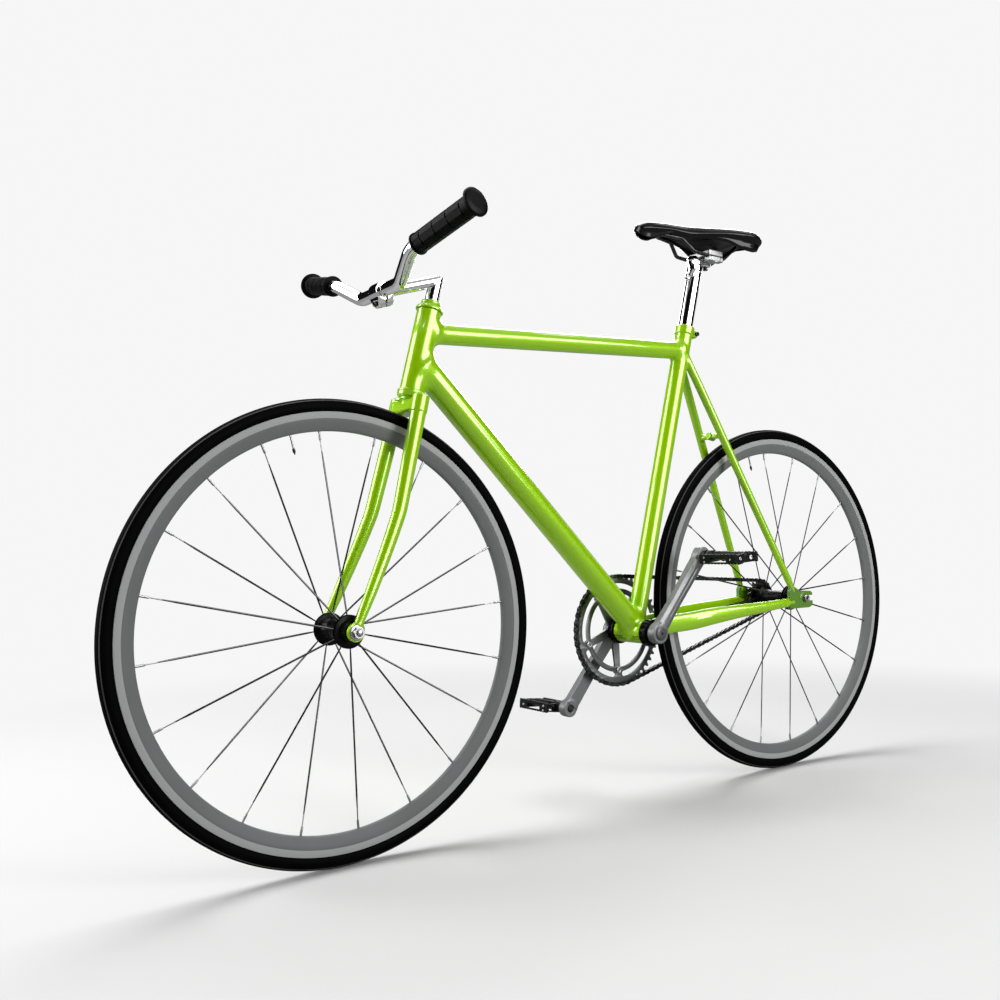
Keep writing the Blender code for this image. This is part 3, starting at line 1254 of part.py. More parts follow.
cradle = cylinder(TILT_PIVOT - SIDE * CLAMP_HALF_WIDTH, TILT_PIVOT + SIDE * CLAMP_HALF_WIDTH,
                  CRADLE_RADIUS, 16)
cradle_trim = box((60 * MM, 80 * MM, 40 * MM), TILT_PIVOT + Vector((0, 0, 20 * MM + GAP / 2)))
SIDE_BLOCK_WIDTH = 14 * MM
side_blocks = [box((2 * CLAMP_HALF_LENGTH, SIDE_BLOCK_WIDTH, 9 * MM),
                   TILT_PIVOT + Vector((0, side * (CLAMP_HALF_WIDTH - SIDE_BLOCK_WIDTH / 2),
                                        -4.5 * MM)),
                   (0, 0, 1), (1, 0, 0), 1.5 * MM) for side in (1, -1)]
piece("saddle_clamp_lower", "saddle_tilt", STEEL, cradle, side_blocks,
      [cradle_trim, *rail_grooves(), clamp_hole()])
upper_clamp = box((2 * CLAMP_HALF_LENGTH, 2 * CLAMP_HALF_WIDTH, 12 * MM),
                  TILT_PIVOT + Vector((0, 0, 6.6 * MM)), (0, 0, 1), (1, 0, 0), 2.5 * MM)
piece("saddle_clamp_upper", "saddle_tilt", STEEL, upper_clamp, [],
      [*rail_grooves(), clamp_hole()])
piece("saddle_clamp_bolt", "saddle_tilt", STEEL,
      spool([(5 * MM, 17.4 * MM), (5 * MM, 13 * MM), (3 * MM, 13 * MM), (3 * MM, -16.9 * MM),
             (5 * MM, -16.9 * MM), (5 * MM, -20.2 * MM)],
            TILT_PIVOT, (0, 0, 1), 8))

# Saddle stations from nose to tail: x, half width, the heights of the top, of the skirt's edge
# and of the hollow's ceiling, all in mm, and the skirt's width as a share of the full width
SADDLE = (
    (-126.5, 6, 1020, 1011, 1013, 0.8), (-132, 13.5, 1028, 1007.5, 1014, 0.6),
    (-145, 17, 1033, 1004.5, 1017, 0.62), (-162, 19, 1035.6, 1005.5, 1021.5, 0.7),
    (-178, 20, 1037, 1012, 1022.5, 0.8), (-195, 21.5, 1038.3, 1016, 1023.5, 0.86),
    (-220, 25, 1039.3, 1015.5, 1023.5, 0.86), (-248, 33, 1040, 1014, 1023, 0.86),
    (-275, 46, 1041, 1014, 1022.5, 0.86), (-305, 60, 1042.4, 1010.5, 1022.5, 0.86),
    (-335, 70, 1044, 999.5, 1023, 0.86), (-362, 73.5, 1044.6, 996, 1023, 0.86),
    (-381, 71.5, 1041.8, 999.5, 1021.5, 0.86), (-390.5, 64, 1034.5, 1008, 1019, 0.84))
SADDLE_WALL = 3.2


def saddle_section(x, half, top, skirt, ceiling, waist):
    """Half-round crown, sides drawn in towards the skirt, and the hollow underneath."""
    crown = min(14, half * 0.5)
    drop = top - skirt
    wall = SADDLE_WALL if half > 10 else 2
    outer = [(0, top), (half * 0.38, top - crown * 0.1), (half * 0.72, top - crown * 0.42),
             (half * 0.94, top - crown), (half, top - crown - drop * 0.18),
             (half * (waist + 0.056), skirt + drop * 0.22), (half * waist, skirt)]
    inner = [(half * waist - wall, skirt), (half * waist - wall, ceiling - 1), (0, ceiling)]
    left = outer + inner
    right = [(-y, z) for y, z in reversed(left[1:-1])]
    return [Vector((x, y, z)) * MM for y, z in left + right]


piece("saddle_cover", "saddle_tilt", LEATHER,
      lofted([saddle_section(*station) for station in SADDLE]))


def base_section(x, half, top, skirt, ceiling, waist):
    inside = half * waist - SADDLE_WALL - 0.5
    upper = ceiling - 1.6
    lower = ceiling - 4.2
    points = [(inside, upper), (inside, lower), (-inside, lower), (-inside, upper)]
    return [Vector((x, y, z)) * MM for y, z in points]


piece("saddle_base", "saddle_tilt", PLASTIC,
      lofted([base_section(*station) for station in SADDLE if -372 < station[0] < -135]))

rail_corners = [Vector((-362, 24.2, 1014.4)) * MM, RAIL_BACK, RAIL_FRONT,
                Vector((-226, 15, 1013)) * MM, Vector((-186, 9, 1014.8)) * MM]
rail_half = rounded_path(rail_corners, [16 * MM, 14 * MM, 12 * MM], 2)
rail_nose = [Vector((-180, 4, 1014.8)) * MM]
rails = rail_half + rail_nose + mirrored(rail_nose) + mirrored(rail_half[::-1])
piece("saddle_rails", "saddle_tilt", BLACK_STEEL, swept(rails, RAIL_RADIUS, 1))

for helper in helpers.objects:
    helper.hide_render = True
    helper.display_type = "WIRE"
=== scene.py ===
import math

import bpy
import numpy as np
from mathutils import Matrix, Vector


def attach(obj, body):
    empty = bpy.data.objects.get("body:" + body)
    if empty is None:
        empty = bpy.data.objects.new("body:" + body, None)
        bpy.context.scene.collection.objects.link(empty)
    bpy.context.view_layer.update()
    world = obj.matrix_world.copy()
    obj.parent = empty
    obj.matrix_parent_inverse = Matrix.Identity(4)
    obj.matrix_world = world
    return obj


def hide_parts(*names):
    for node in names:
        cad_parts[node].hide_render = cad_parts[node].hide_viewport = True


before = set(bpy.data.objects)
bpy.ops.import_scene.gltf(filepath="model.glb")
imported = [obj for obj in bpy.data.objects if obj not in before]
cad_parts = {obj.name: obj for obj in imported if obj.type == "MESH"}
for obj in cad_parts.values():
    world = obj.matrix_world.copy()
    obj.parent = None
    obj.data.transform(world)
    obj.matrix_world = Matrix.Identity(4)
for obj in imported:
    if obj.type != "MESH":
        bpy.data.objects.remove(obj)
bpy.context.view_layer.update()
mm = 0.001
up = np.array((0.0, 0.0, 1.0))
side = np.array((0.0, 1.0, 0.0))  # to the rider's left
print("frame loaded:", len(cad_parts), "nodes")


# camera

cameraSettings = {
    "place": (1.1210, 1.3082, 0.4569),
    "yaw": -2.18843,
    "pitch": 0.04134,
    "roll": -0.02135,
    "lens": 35.874,
    "sensor": 36.0,
}


def addCamera(s):
    ahead = Vector((math.cos(s["pitch"]) * math.cos(s["yaw"]),
                    math.cos(s["pitch"]) * math.sin(s["yaw"]), math.sin(s["pitch"])))
    level = ahead.cross(Vector(up)).normalized()
    upright = level.cross(ahead)
    right = level * math.cos(s["roll"]) + upright * math.sin(s["roll"])
    top = upright * math.cos(s["roll"]) - level * math.sin(s["roll"])
    data = bpy.data.cameras.new("bikeCamera")
    data.lens = s["lens"]
    data.sensor_width = s["sensor"]
    data.clip_end = 60
    camera = bpy.data.objects.new("bikeCamera", data)
    turn = Matrix((right, top, -ahead)).transposed().to_4x4()
    camera.matrix_world = Matrix.Translation(s["place"]) @ turn
    bpy.context.scene.collection.objects.link(camera)
    bpy.context.scene.camera = camera


addCamera(cameraSettings)


# surfaces: every part is (points, faces), where a triangle's fourth index is -1

def unit(v):
    v = np.asarray(v, float)
    return v / np.linalg.norm(v)


def vec(*numbers):
    return np.array(numbers, float) * mm


def axesFor(direction, guide=(0, 1, 0)):
    # two unit vectors square to a direction, the first as near the guide as can be
    direction = unit(direction)
    first = np.asarray(guide, float) - direction * np.dot(guide, direction)
    if np.linalg.norm(first) < 1e-3:
        first = np.cross(direction, (1, 0, 0.3))
    first = unit(first)
    return first, np.cross(direction, first)


def outward(part):
    # turns a closed part's faces the right way: its signed volume has to be positive
    points, faces = part
    corners = points[faces[:, :3]]
    volume = np.einsum("ij,ij->i", corners[:, 0], np.cross(corners[:, 1], corners[:, 2])).sum()
    quads = faces[faces[:, 3] >= 0]
    last = points[quads[:, [0, 2, 3]]]
    volume += np.einsum("ij,ij->i", last[:, 0], np.cross(last[:, 1], last[:, 2])).sum()
    if volume > 0:
        return part
    flipped = faces[:, [2, 1, 0, 3]].copy()
    isQuad = faces[:, 3] >= 0
    flipped[isQuad] = faces[isQuad][:, ::-1]
    return points, flipped


def skin(rows, closed=False):
    # quads between rows of points, (along, around, 3). Closed joins the last row to the first; else
    # both ends get a fan
    rows = np.asarray(rows, float)
    count, around = rows.shape[:2]
    points = rows.reshape(-1, 3)
    i = np.arange(count if closed else count - 1)[:, None]
    j = np.arange(around)[None, :]
    a = i * around + j
    b = i * around + (j + 1) % around
    c = ((i + 1) % count) * around + (j + 1) % around
    d = ((i + 1) % count) * around + j
    faces = np.stack([a, b, c, d], -1).reshape(-1, 4)
    if not closed:
        centres = np.array([rows[0].mean(0), rows[-1].mean(0)])
        k = np.arange(around)
        n = len(points)
        none = np.full(around, -1)
        low = np.stack([np.full(around, n), (k + 1) % around, k, none], -1)
        base = (count - 1) * around
        high = np.stack([np.full(around, n + 1), base + k, base + (k + 1) % around, none], -1)
        points = np.vstack([points, centres])
        faces = np.vstack([faces, low, high])
    return outward((points, faces))


def join(parts):
    # several parts as one
    points, faces, start = [], [], 0
    for p, f in parts:
        points.append(p)
        faces.append(np.where(f >= 0, f + start, -1))
        start += len(p)
    return np.vstack(points), np.vstack(faces)


def revolve(profile, centre, axis, around=64, radiusAt=None, closed=False):
    # a profile of (radius, height) carried round an axis: p = centre + axis h + r (u cos t + v sin t).
    # radiusAt(r, h, t) may change r
    profile = np.asarray(profile, float)
    axis = unit(axis)
    u, v = axesFor(axis, (0.31, 0.2, 0.93) if abs(axis[2]) < 0.9 else (0.9, 0.3, 0.1))
    t = np.linspace(0, 2 * math.pi, around, endpoint=False)[None, :]
    r = np.repeat(profile[:, :1], around, 1)
    h = np.repeat(profile[:, 1:], around, 1)
    if radiusAt:
        r = radiusAt(r, h, t)
    ringWay = np.cos(t)[..., None] * u + np.sin(t)[..., None] * v
    rows = np.asarray(centre) + h[..., None] * axis + r[..., None] * ringWay
    return skin(rows, closed)


def tube(path, radius, around=32, flatten=None, guide=(0, 0, 1)):
    # a round or oval bar along a path: p = c(s) + a(s) cos t + b(s) sin t, with a and b square to the
    # path
    path = np.asarray(path, float)
    radius = np.broadcast_to(np.asarray(radius, float), (len(path),))
    along = np.gradient(path, axis=0)
    along /= np.linalg.norm(along, axis=1, keepdims=True)
    first = np.asarray(guide, float) - along * (along @ np.asarray(guide, float))[:, None]
    first /= np.linalg.norm(first, axis=1, keepdims=True)
    second = np.cross(along, first)
    t = np.linspace(0, 2 * math.pi, around, endpoint=False)[None, :, None]
    width = radius if flatten is None else np.broadcast_to(np.asarray(flatten, float), radius.shape)
    rows = (path[:, None] + radius[:, None, None] * np.cos(t) * first[:, None]
            + width[:, None, None] * np.sin(t) * second[:, None])
    return skin(rows)


def bentPath(corners, radii, steps=14, straight=10):
    # points along straight runs joined by bends: p = a (1 - t)^2 + 2 c t (1 - t) + b t^2 about corner c
    corners = [np.asarray(c, float) for c in corners]
    path = []
    last = corners[0]
    for before, corner, after, radius in zip(corners, corners[1:], corners[2:], radii):
        into, out = unit(corner - before), unit(after - corner)
        reach = radius * math.tan(math.acos(np.clip(into @ out, -1, 1)) / 2)
        start, end = corner - into * reach, corner + out * reach
        t = np.linspace(0, 1, straight, endpoint=False)[:, None]
        path.append(last * (1 - t) + start * t)
        t = np.linspace(0, 1, steps, endpoint=False)[:, None]
        path.append(start * (1 - t) ** 2 + corner * 2 * t * (1 - t) + end * t ** 2)
        last = end
    t = np.linspace(0, 1, straight)[:, None]
    path.append(last * (1 - t) + corners[-1] * t)
    return np.vstack(path)


def smoothRow(stations, count):
    # resamples rows of numbers with a Catmull-Rom curve through every station
    s = np.asarray(stations, float)
    s = np.vstack([2 * s[0] - s[1], s, 2 * s[-1] - s[-2]])
    x = np.linspace(0, len(s) - 3, count)
    i = np.minimum(x.astype(int), len(s) - 4)
    t = (x - i)[:, None]
    a, b, c, d = s[i], s[i + 1], s[i + 2], s[i + 3]
    return 0.5 * (2 * b + (c - a) * t + (2 * a - 5 * b + 4 * c - d) * t ** 2
                  + (3 * b - a - 3 * c + d) * t ** 3)


def addPiece(name, part, material, body, nodes=(), angle=38):
    # makes the mesh object and lets it ride on a body in place of CAD nodes; a sculpted part brings its
    # own normals, others are sharpened over an angle
    points, faces = part[:2]
    mesh = bpy.data.meshes.new(name)
    used = faces >= 0
    totals = used.sum(1)
    mesh.vertices.add(len(points))
    mesh.vertices.foreach_set("co", points.astype(np.float32).ravel())
    mesh.loops.add(int(totals.sum()))
    mesh.loops.foreach_set("vertex_index", faces[used].astype(np.int32))
    mesh.polygons.add(len(faces))
    starts = np.concatenate([[0], np.cumsum(totals)[:-1]])
    mesh.polygons.foreach_set("loop_start", starts.astype(np.int32))
    mesh.update(calc_edges=True)
    mesh.validate()
    mesh.shade_smooth()
    if len(part) > 2:
        mesh.normals_split_custom_set_from_vertices(part[2])
    else:
        mesh.set_sharp_from_angle(angle=math.radians(angle))
    mesh.materials.append(material)
    made = bpy.data.objects.new(name, mesh)
    bpy.context.scene.collection.objects.link(made)
    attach(made, body)
    if nodes:
        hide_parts(*nodes)
    return made


# fields: distance to a shape, less than nothing inside it; sculpt() skins one

def rodField(p, a, b, radius, rim=0.0008):
    # distance to a flat-ended round bar whose rims are rounded
    a, b = np.asarray(a, float), np.asarray(b, float)
    length = np.linalg.norm(b - a)
    way = (b - a) / length
    offset = p - (a + b) / 2
    along = np.abs(offset @ way) - length / 2 + rim
    across = np.sqrt(np.maximum((offset ** 2).sum(-1) - (offset @ way) ** 2, 0)) - radius + rim
    outside = np.sqrt(np.maximum(along, 0) ** 2 + np.maximum(across, 0) ** 2)
    return outside + np.minimum(np.maximum(along, across), 0) - rim


def blockField(p, centre, xAxis, zAxis, size, rim):
    # distance to a box with rounded edges, its z axis given and its x axis near the one given
    zAxis = unit(zAxis)
    x, y = axesFor(zAxis, xAxis)
    offset = p - np.asarray(centre)
    local = np.stack([offset @ x, offset @ y, offset @ zAxis], -1)
    q = np.abs(local) - np.asarray(size) / 2 + rim
    return np.sqrt((np.maximum(q, 0) ** 2).sum(-1)) + np.minimum(q.max(-1), 0) - rim


def pathField(p, path, wide, high, guide=(0, 0, 1)):
    # distance to an oval bar along a path: k0 (k0 - 1) / k1 of the oval at the nearest point of the
    # path
    path = np.asarray(path, float)
    best = np.full(len(p), 1e9)
    result = np.zeros((len(p), 5))
    for i in range(len(path) - 1):
        step = path[i + 1] - path[i]
        t = np.clip((p - path[i]) @ step / (step @ step), 0, 1)
        offset = p - path[i] - t[:, None] * step
        d = (offset ** 2).sum(-1)
        near = d < best
        best[near] = d[near]
        first = unit(np.asarray(guide, float) - unit(step) * (unit(step) @ np.asarray(guide, float)))
        second = np.cross(unit(step), first)
        o = offset[near]
        result[near, 0] = o @ first
        result[near, 1] = o @ second
        result[near, 2] = np.abs(o @ unit(step))
        result[near, 3] = high[i] + (high[i + 1] - high[i]) * t[near]
        result[near, 4] = wide[i] + (wide[i + 1] - wide[i]) * t[near]
    u, v, past, b, a = result.T
    k0 = np.sqrt((u / b) ** 2 + (v / a) ** 2 + (past / np.minimum(a, b)) ** 2)
    k1 = np.sqrt((u / b ** 2) ** 2 + (v / a ** 2) ** 2 + (past / np.minimum(a, b) ** 2) ** 2)
    return k0 * (k0 - 1) / np.maximum(k1, 1e-6)


def outlineField(p, outline, low, high, origin, xAxis, yAxis, rim=0.0006):
    # distance to a plate over a polygon: the polygon's own distance, capped at both faces
    xAxis, yAxis = unit(xAxis), unit(yAxis)
    zAxis = np.cross(xAxis, yAxis)
    offset = p - np.asarray(origin)
    x, y, z = offset @ xAxis, offset @ yAxis, offset @ zAxis
    outline = np.asarray(outline, float)
    nearest = np.full(len(p), 1e9)
    inside = np.zeros(len(p), bool)
    for (ax, ay), (bx, by) in zip(outline, np.roll(outline, -1, 0)):
        ex, ey = bx - ax, by - ay
        t = np.clip(((x - ax) * ex + (y - ay) * ey) / (ex * ex + ey * ey), 0, 1)
        nearest = np.minimum(nearest, (x - ax - t * ex) ** 2 + (y - ay - t * ey) ** 2)
        crosses = (ay > y) != (by > y)
        if ay != by:
            inside ^= crosses & (x < ax + (y - ay) / (by - ay) * ex)
    flat = np.where(inside, -1, 1) * np.sqrt(nearest) + rim
    deep = np.abs(z - (low + high) / 2) - (high - low) / 2 + rim
    outside = np.sqrt(np.maximum(flat, 0) ** 2 + np.maximum(deep, 0) ** 2)
    return outside + np.minimum(np.maximum(flat, deep), 0) - rim


def meld(a, b, fillet):
    # joins two fields with a fillet: the smaller one, less f h (1 - h) where they are within f of each
    # other
    h = np.clip(0.5 + 0.5 * (b - a) / fillet, 0, 1)
    return b * (1 - h) + a * h - fillet * h * (1 - h)


def carve(a, b, fillet=0.0008):
    # takes b out of a and rounds the rim
    return -meld(-a, b, fillet)


def sculpt(field, low, high, cell, relax=3):
    # skins a field: cells that its zero level crosses get a point, each crossed lattice edge a quad,
    # and every point slides down the gradient onto the level; normals are the gradient, or the faces'
    # own where the two disagree
    low, high = np.asarray(low, float), np.asarray(high, float)
    k = 4
    blocks = np.ceil((high - low) / (cell * k)).astype(int)
    index = np.stack(np.meshgrid(*[np.arange(n) for n in blocks], indexing="ij"), -1).reshape(-1, 3)
    reach = cell * k * 0.87 * 1.6
    centres = low + (index + 0.5) * cell * k
    index = index[np.abs(field(centres)) < reach]
    node = np.stack(np.meshgrid(*[np.arange(k + 1)] * 3, indexing="ij"), -1)
    lattice = index[:, None, None, None, :] * k + node
    value = field(low + lattice.reshape(-1, 3) * cell).reshape(lattice.shape[:-1])
    inside = value < 0
    corner = [inside[:, a:k + a, b:k + b, c:k + c] for a in (0, 1) for b in (0, 1) for c in (0, 1)]
    total = np.sum(corner, axis=0)
    mixed = (total > 0) & (total < 8)
    cells = lattice[:, :k, :k, :k][mixed]
    span = blocks * k + 2

    def key(c):
        return (c[..., 0] * span[1] + c[..., 1]) * span[2] + c[..., 2]

    keys = key(cells)
    order = np.argsort(keys)
    keys, cells = keys[order], cells[order]
    points = low + (cells + 0.5) * cell
    faces = []
    for axis in range(3):
        one = np.zeros(3, int)
        one[axis] = 1
        here = inside[:, :k, :k, :k]
        there = inside[:, one[0]:k + one[0], one[1]:k + one[1], one[2]:k + one[2]]
        crossed = here != there
        place = lattice[:, :k, :k, :k][crossed]
        isIn = here[crossed]
        b, c = np.roll(one, 1), np.roll(one, 2)
        ringOf = [place, place - b, place - b - c, place - c]
        quad = np.stack([np.searchsorted(keys, key(q)) for q in ringOf], -1)
        quad = np.where(isIn[:, None], quad, quad[:, ::-1])
        faces.append(quad)
    faces = np.vstack(faces)
    edges = np.unique(np.sort(np.vstack([faces[:, [0, 1]], faces[:, [1, 2]], faces[:, [2, 3]],
                                         faces[:, [3, 0]]]), 1), axis=0)

    def settle(points, rounds):
        h = cell * 0.05
        for _ in range(rounds):
            d = field(points)
            slope = np.stack([(field(points + h * e) - d) / h for e in np.eye(3)], -1)
            slope /= np.maximum((slope ** 2).sum(-1, keepdims=True), 0.04)
            points = points - np.clip(d[:, None], -cell, cell) * slope
        return points

    points = settle(points, 3)
    for _ in range(relax):
        total = np.zeros_like(points)
        count = np.zeros(len(points))
        for a, b in ((0, 1), (1, 0)):
            count += np.bincount(edges[:, a], minlength=len(points))
            for axis in range(3):
                total[:, axis] += np.bincount(edges[:, a], points[edges[:, b], axis], len(points))
        points = settle(points * 0.4 + 0.6 * total / count[:, None], 1)
    points, faces = outward((settle(points, 2), faces))
    h = cell * 0.12
    slope = np.stack([field(points + h * e) - field(points - h * e) for e in np.eye(3)], -1)
    slope /= np.maximum(np.linalg.norm(slope, axis=1, keepdims=True), 1e-12)
    corners = points[faces]
    flat = np.cross(corners[:, 2] - corners[:, 0], corners[:, 3] - corners[:, 1])
    around = np.zeros_like(points)
    for i in range(4):
        for axis in range(3):
            around[:, axis] += np.bincount(faces[:, i], flat[:, axis], len(points))
    around /= np.maximum(np.linalg.norm(around, axis=1, keepdims=True), 1e-12)
    trusted = (slope * around).sum(1, keepdims=True) > 0.45
    return points, faces, np.where(trusted, slope, around)


# finishes

def shaderGroup(name, inputs, outputs):
    # an empty group with named sockets; inputs are (name, default), outputs (name, socket type)
    group = bpy.data.node_groups.new(name, "ShaderNodeTree")
    for label, default in inputs:
        kind = "NodeSocketVector" if default is None else "NodeSocketFloat"
        socket = group.interface.new_socket(name=label, in_out="INPUT", socket_type=kind)
        if default is not None:
            socket.default_value = default
    for label, kind in outputs:
        group.interface.new_socket(name=label, in_out="OUTPUT", socket_type=kind)
    return group, group.nodes.new("NodeGroupInput"), group.nodes.new("NodeGroupOutput")


def wire(tree, node, socket, target, targetSocket):
    tree.links.new(node.outputs[socket], target.inputs[targetSocket])


def mathNode(tree, operation, first, second=None, clamp=False):
    # a Math node; each operand is a number or a (node, socket) pair
    node = tree.nodes.new("ShaderNodeMath")
    node.operation = operation
    node.use_clamp = clamp
    for i, value in enumerate((first, second)):
        if isinstance(value, tuple):
            tree.links.new(value[0].outputs[value[1]], node.inputs[i])
        elif value is not None:
            node.inputs[i].default_value = value
    return node, "Value"


def noiseNode(tree, where, scale, detail=2.0, roughness=0.5):
    node = tree.nodes.new("ShaderNodeTexNoise")
    node.inputs["Scale"].default_value = scale
    node.inputs["Detail"].default_value = detail
    node.inputs["Roughness"].default_value = roughness
    tree.links.new(where[0].outputs[where[1]], node.inputs["Vector"])
    return node, "Fac"


def smudgeGroup():
    # hand marks and dust: slow noise stretched to a 0 to 1 mask, and quick noise as a fine grain height
    group, start, end = shaderGroup(
        "handMarks", [("Position", None), ("Patch size", 30.0), ("Grain size", 900.0), ("Amount", 1.0)],
        [("Mask", "NodeSocketFloat"), ("Grain", "NodeSocketFloat")])
    slow = group.nodes.new("ShaderNodeTexNoise")
    slow.inputs["Detail"].default_value = 4
    quick = group.nodes.new("ShaderNodeTexNoise")
    quick.inputs["Detail"].default_value = 2
    wire(group, start, "Position", slow, "Vector")
    wire(group, start, "Patch size", slow, "Scale")
    wire(group, start, "Position", quick, "Vector")
    wire(group, start, "Grain size", quick, "Scale")
    spread = group.nodes.new("ShaderNodeMapRange")
    spread.inputs["From Min"].default_value = 0.38
    spread.inputs["From Max"].default_value = 0.72
    wire(group, slow, "Fac", spread, "Value")
    amount = mathNode(group, "MULTIPLY", (spread, "Result"), (start, "Amount"))
    group.links.new(amount[0].outputs[0], end.inputs["Mask"])
    wire(group, quick, "Fac", end, "Grain")
    return group


def turnedGroup():
    # fine rings round the Y axis through the point given, as on turned metal: sin(radius times pitch),
    # roughened
    group, start, end = shaderGroup(
        "turnedLines", [("Position", None), ("Pitch", 9000.0)],
        [("Lines", "NodeSocketFloat"), ("Radius", "NodeSocketFloat")])
    split = group.nodes.new("ShaderNodeSeparateXYZ")
    wire(group, start, "Position", split, "Vector")
    square = mathNode(group, "ADD", mathNode(group, "MULTIPLY", (split, "X"), (split, "X")),
                      mathNode(group, "MULTIPLY", (split, "Z"), (split, "Z")))
    radius = mathNode(group, "SQRT", square)
    jitter = noiseNode(group, (start, "Position"), 40)
    phase = mathNode(group, "ADD", mathNode(group, "MULTIPLY", radius, (start, "Pitch")),
                     mathNode(group, "MULTIPLY", jitter, 6.0))
    lines = mathNode(group, "SINE", phase)
    half = mathNode(group, "MULTIPLY_ADD", lines, 0.5)
    half[0].inputs[2].default_value = 0.5
    group.links.new(half[0].outputs[0], end.inputs["Lines"])
    group.links.new(radius[0].outputs[0], end.inputs["Radius"])
    return group


marks = smudgeGroup()
rings = turnedGroup()


def finish(name, s):
    # a Principled material from one dictionary: colour and roughness vary with the hand marks, the
    # grain feeds the bump
    made = bpy.data.materials.new(name)
    made.use_nodes = True
    tree = made.node_tree
    shader = tree.nodes["Principled BSDF"]
    for label, key in (("Metallic", "metallic"), ("IOR", "ior"), ("Coat Weight", "coat"),
                       ("Coat Roughness", "coatRoughness"), ("Coat IOR", "coatIor"),
                       ("Sheen Weight", "sheen"), ("Sheen Roughness", "sheenRoughness"),
                       ("Specular IOR Level", "specular"), ("Anisotropic", "anisotropic")):
        if key in s:
            shader.inputs[label].default_value = s[key]
    place = tree.nodes.new("ShaderNodeTexCoord")
    group = tree.nodes.new("ShaderNodeGroup")
    group.node_tree = marks
    group.inputs["Patch size"].default_value = s.get("patch", 30.0)
    group.inputs["Grain size"].default_value = s.get("grain", 900.0)
    group.inputs["Amount"].default_value = s.get("amount", 1.0)
    wire(tree, place, "Object", group, "Position")
    mix = tree.nodes.new("ShaderNodeMix")
    mix.data_type = "RGBA"
    mix.inputs["A"].default_value = (*s["colour"], 1)
    mix.inputs["B"].default_value = (*s.get("worn", s["colour"]), 1)
    wire(tree, group, "Mask", mix, "Factor")
    tree.links.new(mix.outputs["Result"], shader.inputs["Base Color"])
    rough = tree.nodes.new("ShaderNodeMapRange")
    rough.inputs["To Min"].default_value = s["roughness"][0]
    rough.inputs["To Max"].default_value = s["roughness"][1]
    wire(tree, group, "Mask", rough, "Value")
    wire(tree, rough, "Result", shader, "Roughness")
    bump = tree.nodes.new("ShaderNodeBump")
    bump.inputs["Strength"].default_value = s.get("bump", 0.1)
    bump.inputs["Distance"].default_value = s.get("bumpDepth", 0.0002)
    wire(tree, group, "Grain", bump, "Height")
    wire(tree, bump, "Normal", shader, "Normal")
    made.diffuse_color = (*s["colour"], 1)
    return made, tree, shader, place, bump


def ringed(material, centre, s):
    # adds turned lines about a wheel's axis to a material's bump, and lightens its brake band
    tree = material[1]
    move = tree.nodes.new("ShaderNodeMapping")
    move.inputs["Location"].default_value = tuple(-c for c in centre)
    wire(tree, material[3], "Object", move, "Vector")
    group = tree.nodes.new("ShaderNodeGroup")
    group.node_tree = rings
    group.inputs["Pitch"].default_value = s["pitch"]
    wire(tree, move, "Vector", group, "Position")
    second = tree.nodes.new("ShaderNodeBump")
    second.inputs["Strength"].default_value = s["strength"]
    second.inputs["Distance"].default_value = s["depth"]
    wire(tree, group, "Lines", second, "Height")
    wire(tree, material[4], "Normal", second, "Normal")
    wire(tree, second, "Normal", material[2], "Normal")
    edge = tree.nodes.new("ShaderNodeMapRange")
    edge.inputs["From Min"].default_value = s["bandFrom"][0]
    edge.inputs["From Max"].default_value = s["bandFrom"][1]
    wire(tree, group, "Radius", edge, "Value")
    plain = material[2].inputs["Base Color"].links[0].from_socket
    band = tree.nodes.new("ShaderNodeMix")
    band.data_type = "RGBA"
    tree.links.new(plain, band.inputs["A"])
    band.inputs["B"].default_value = (*s["bandColour"], 1)
    wire(tree, edge, "Result", band, "Factor")
    tree.links.new(band.outputs["Result"], material[2].inputs["Base Color"])


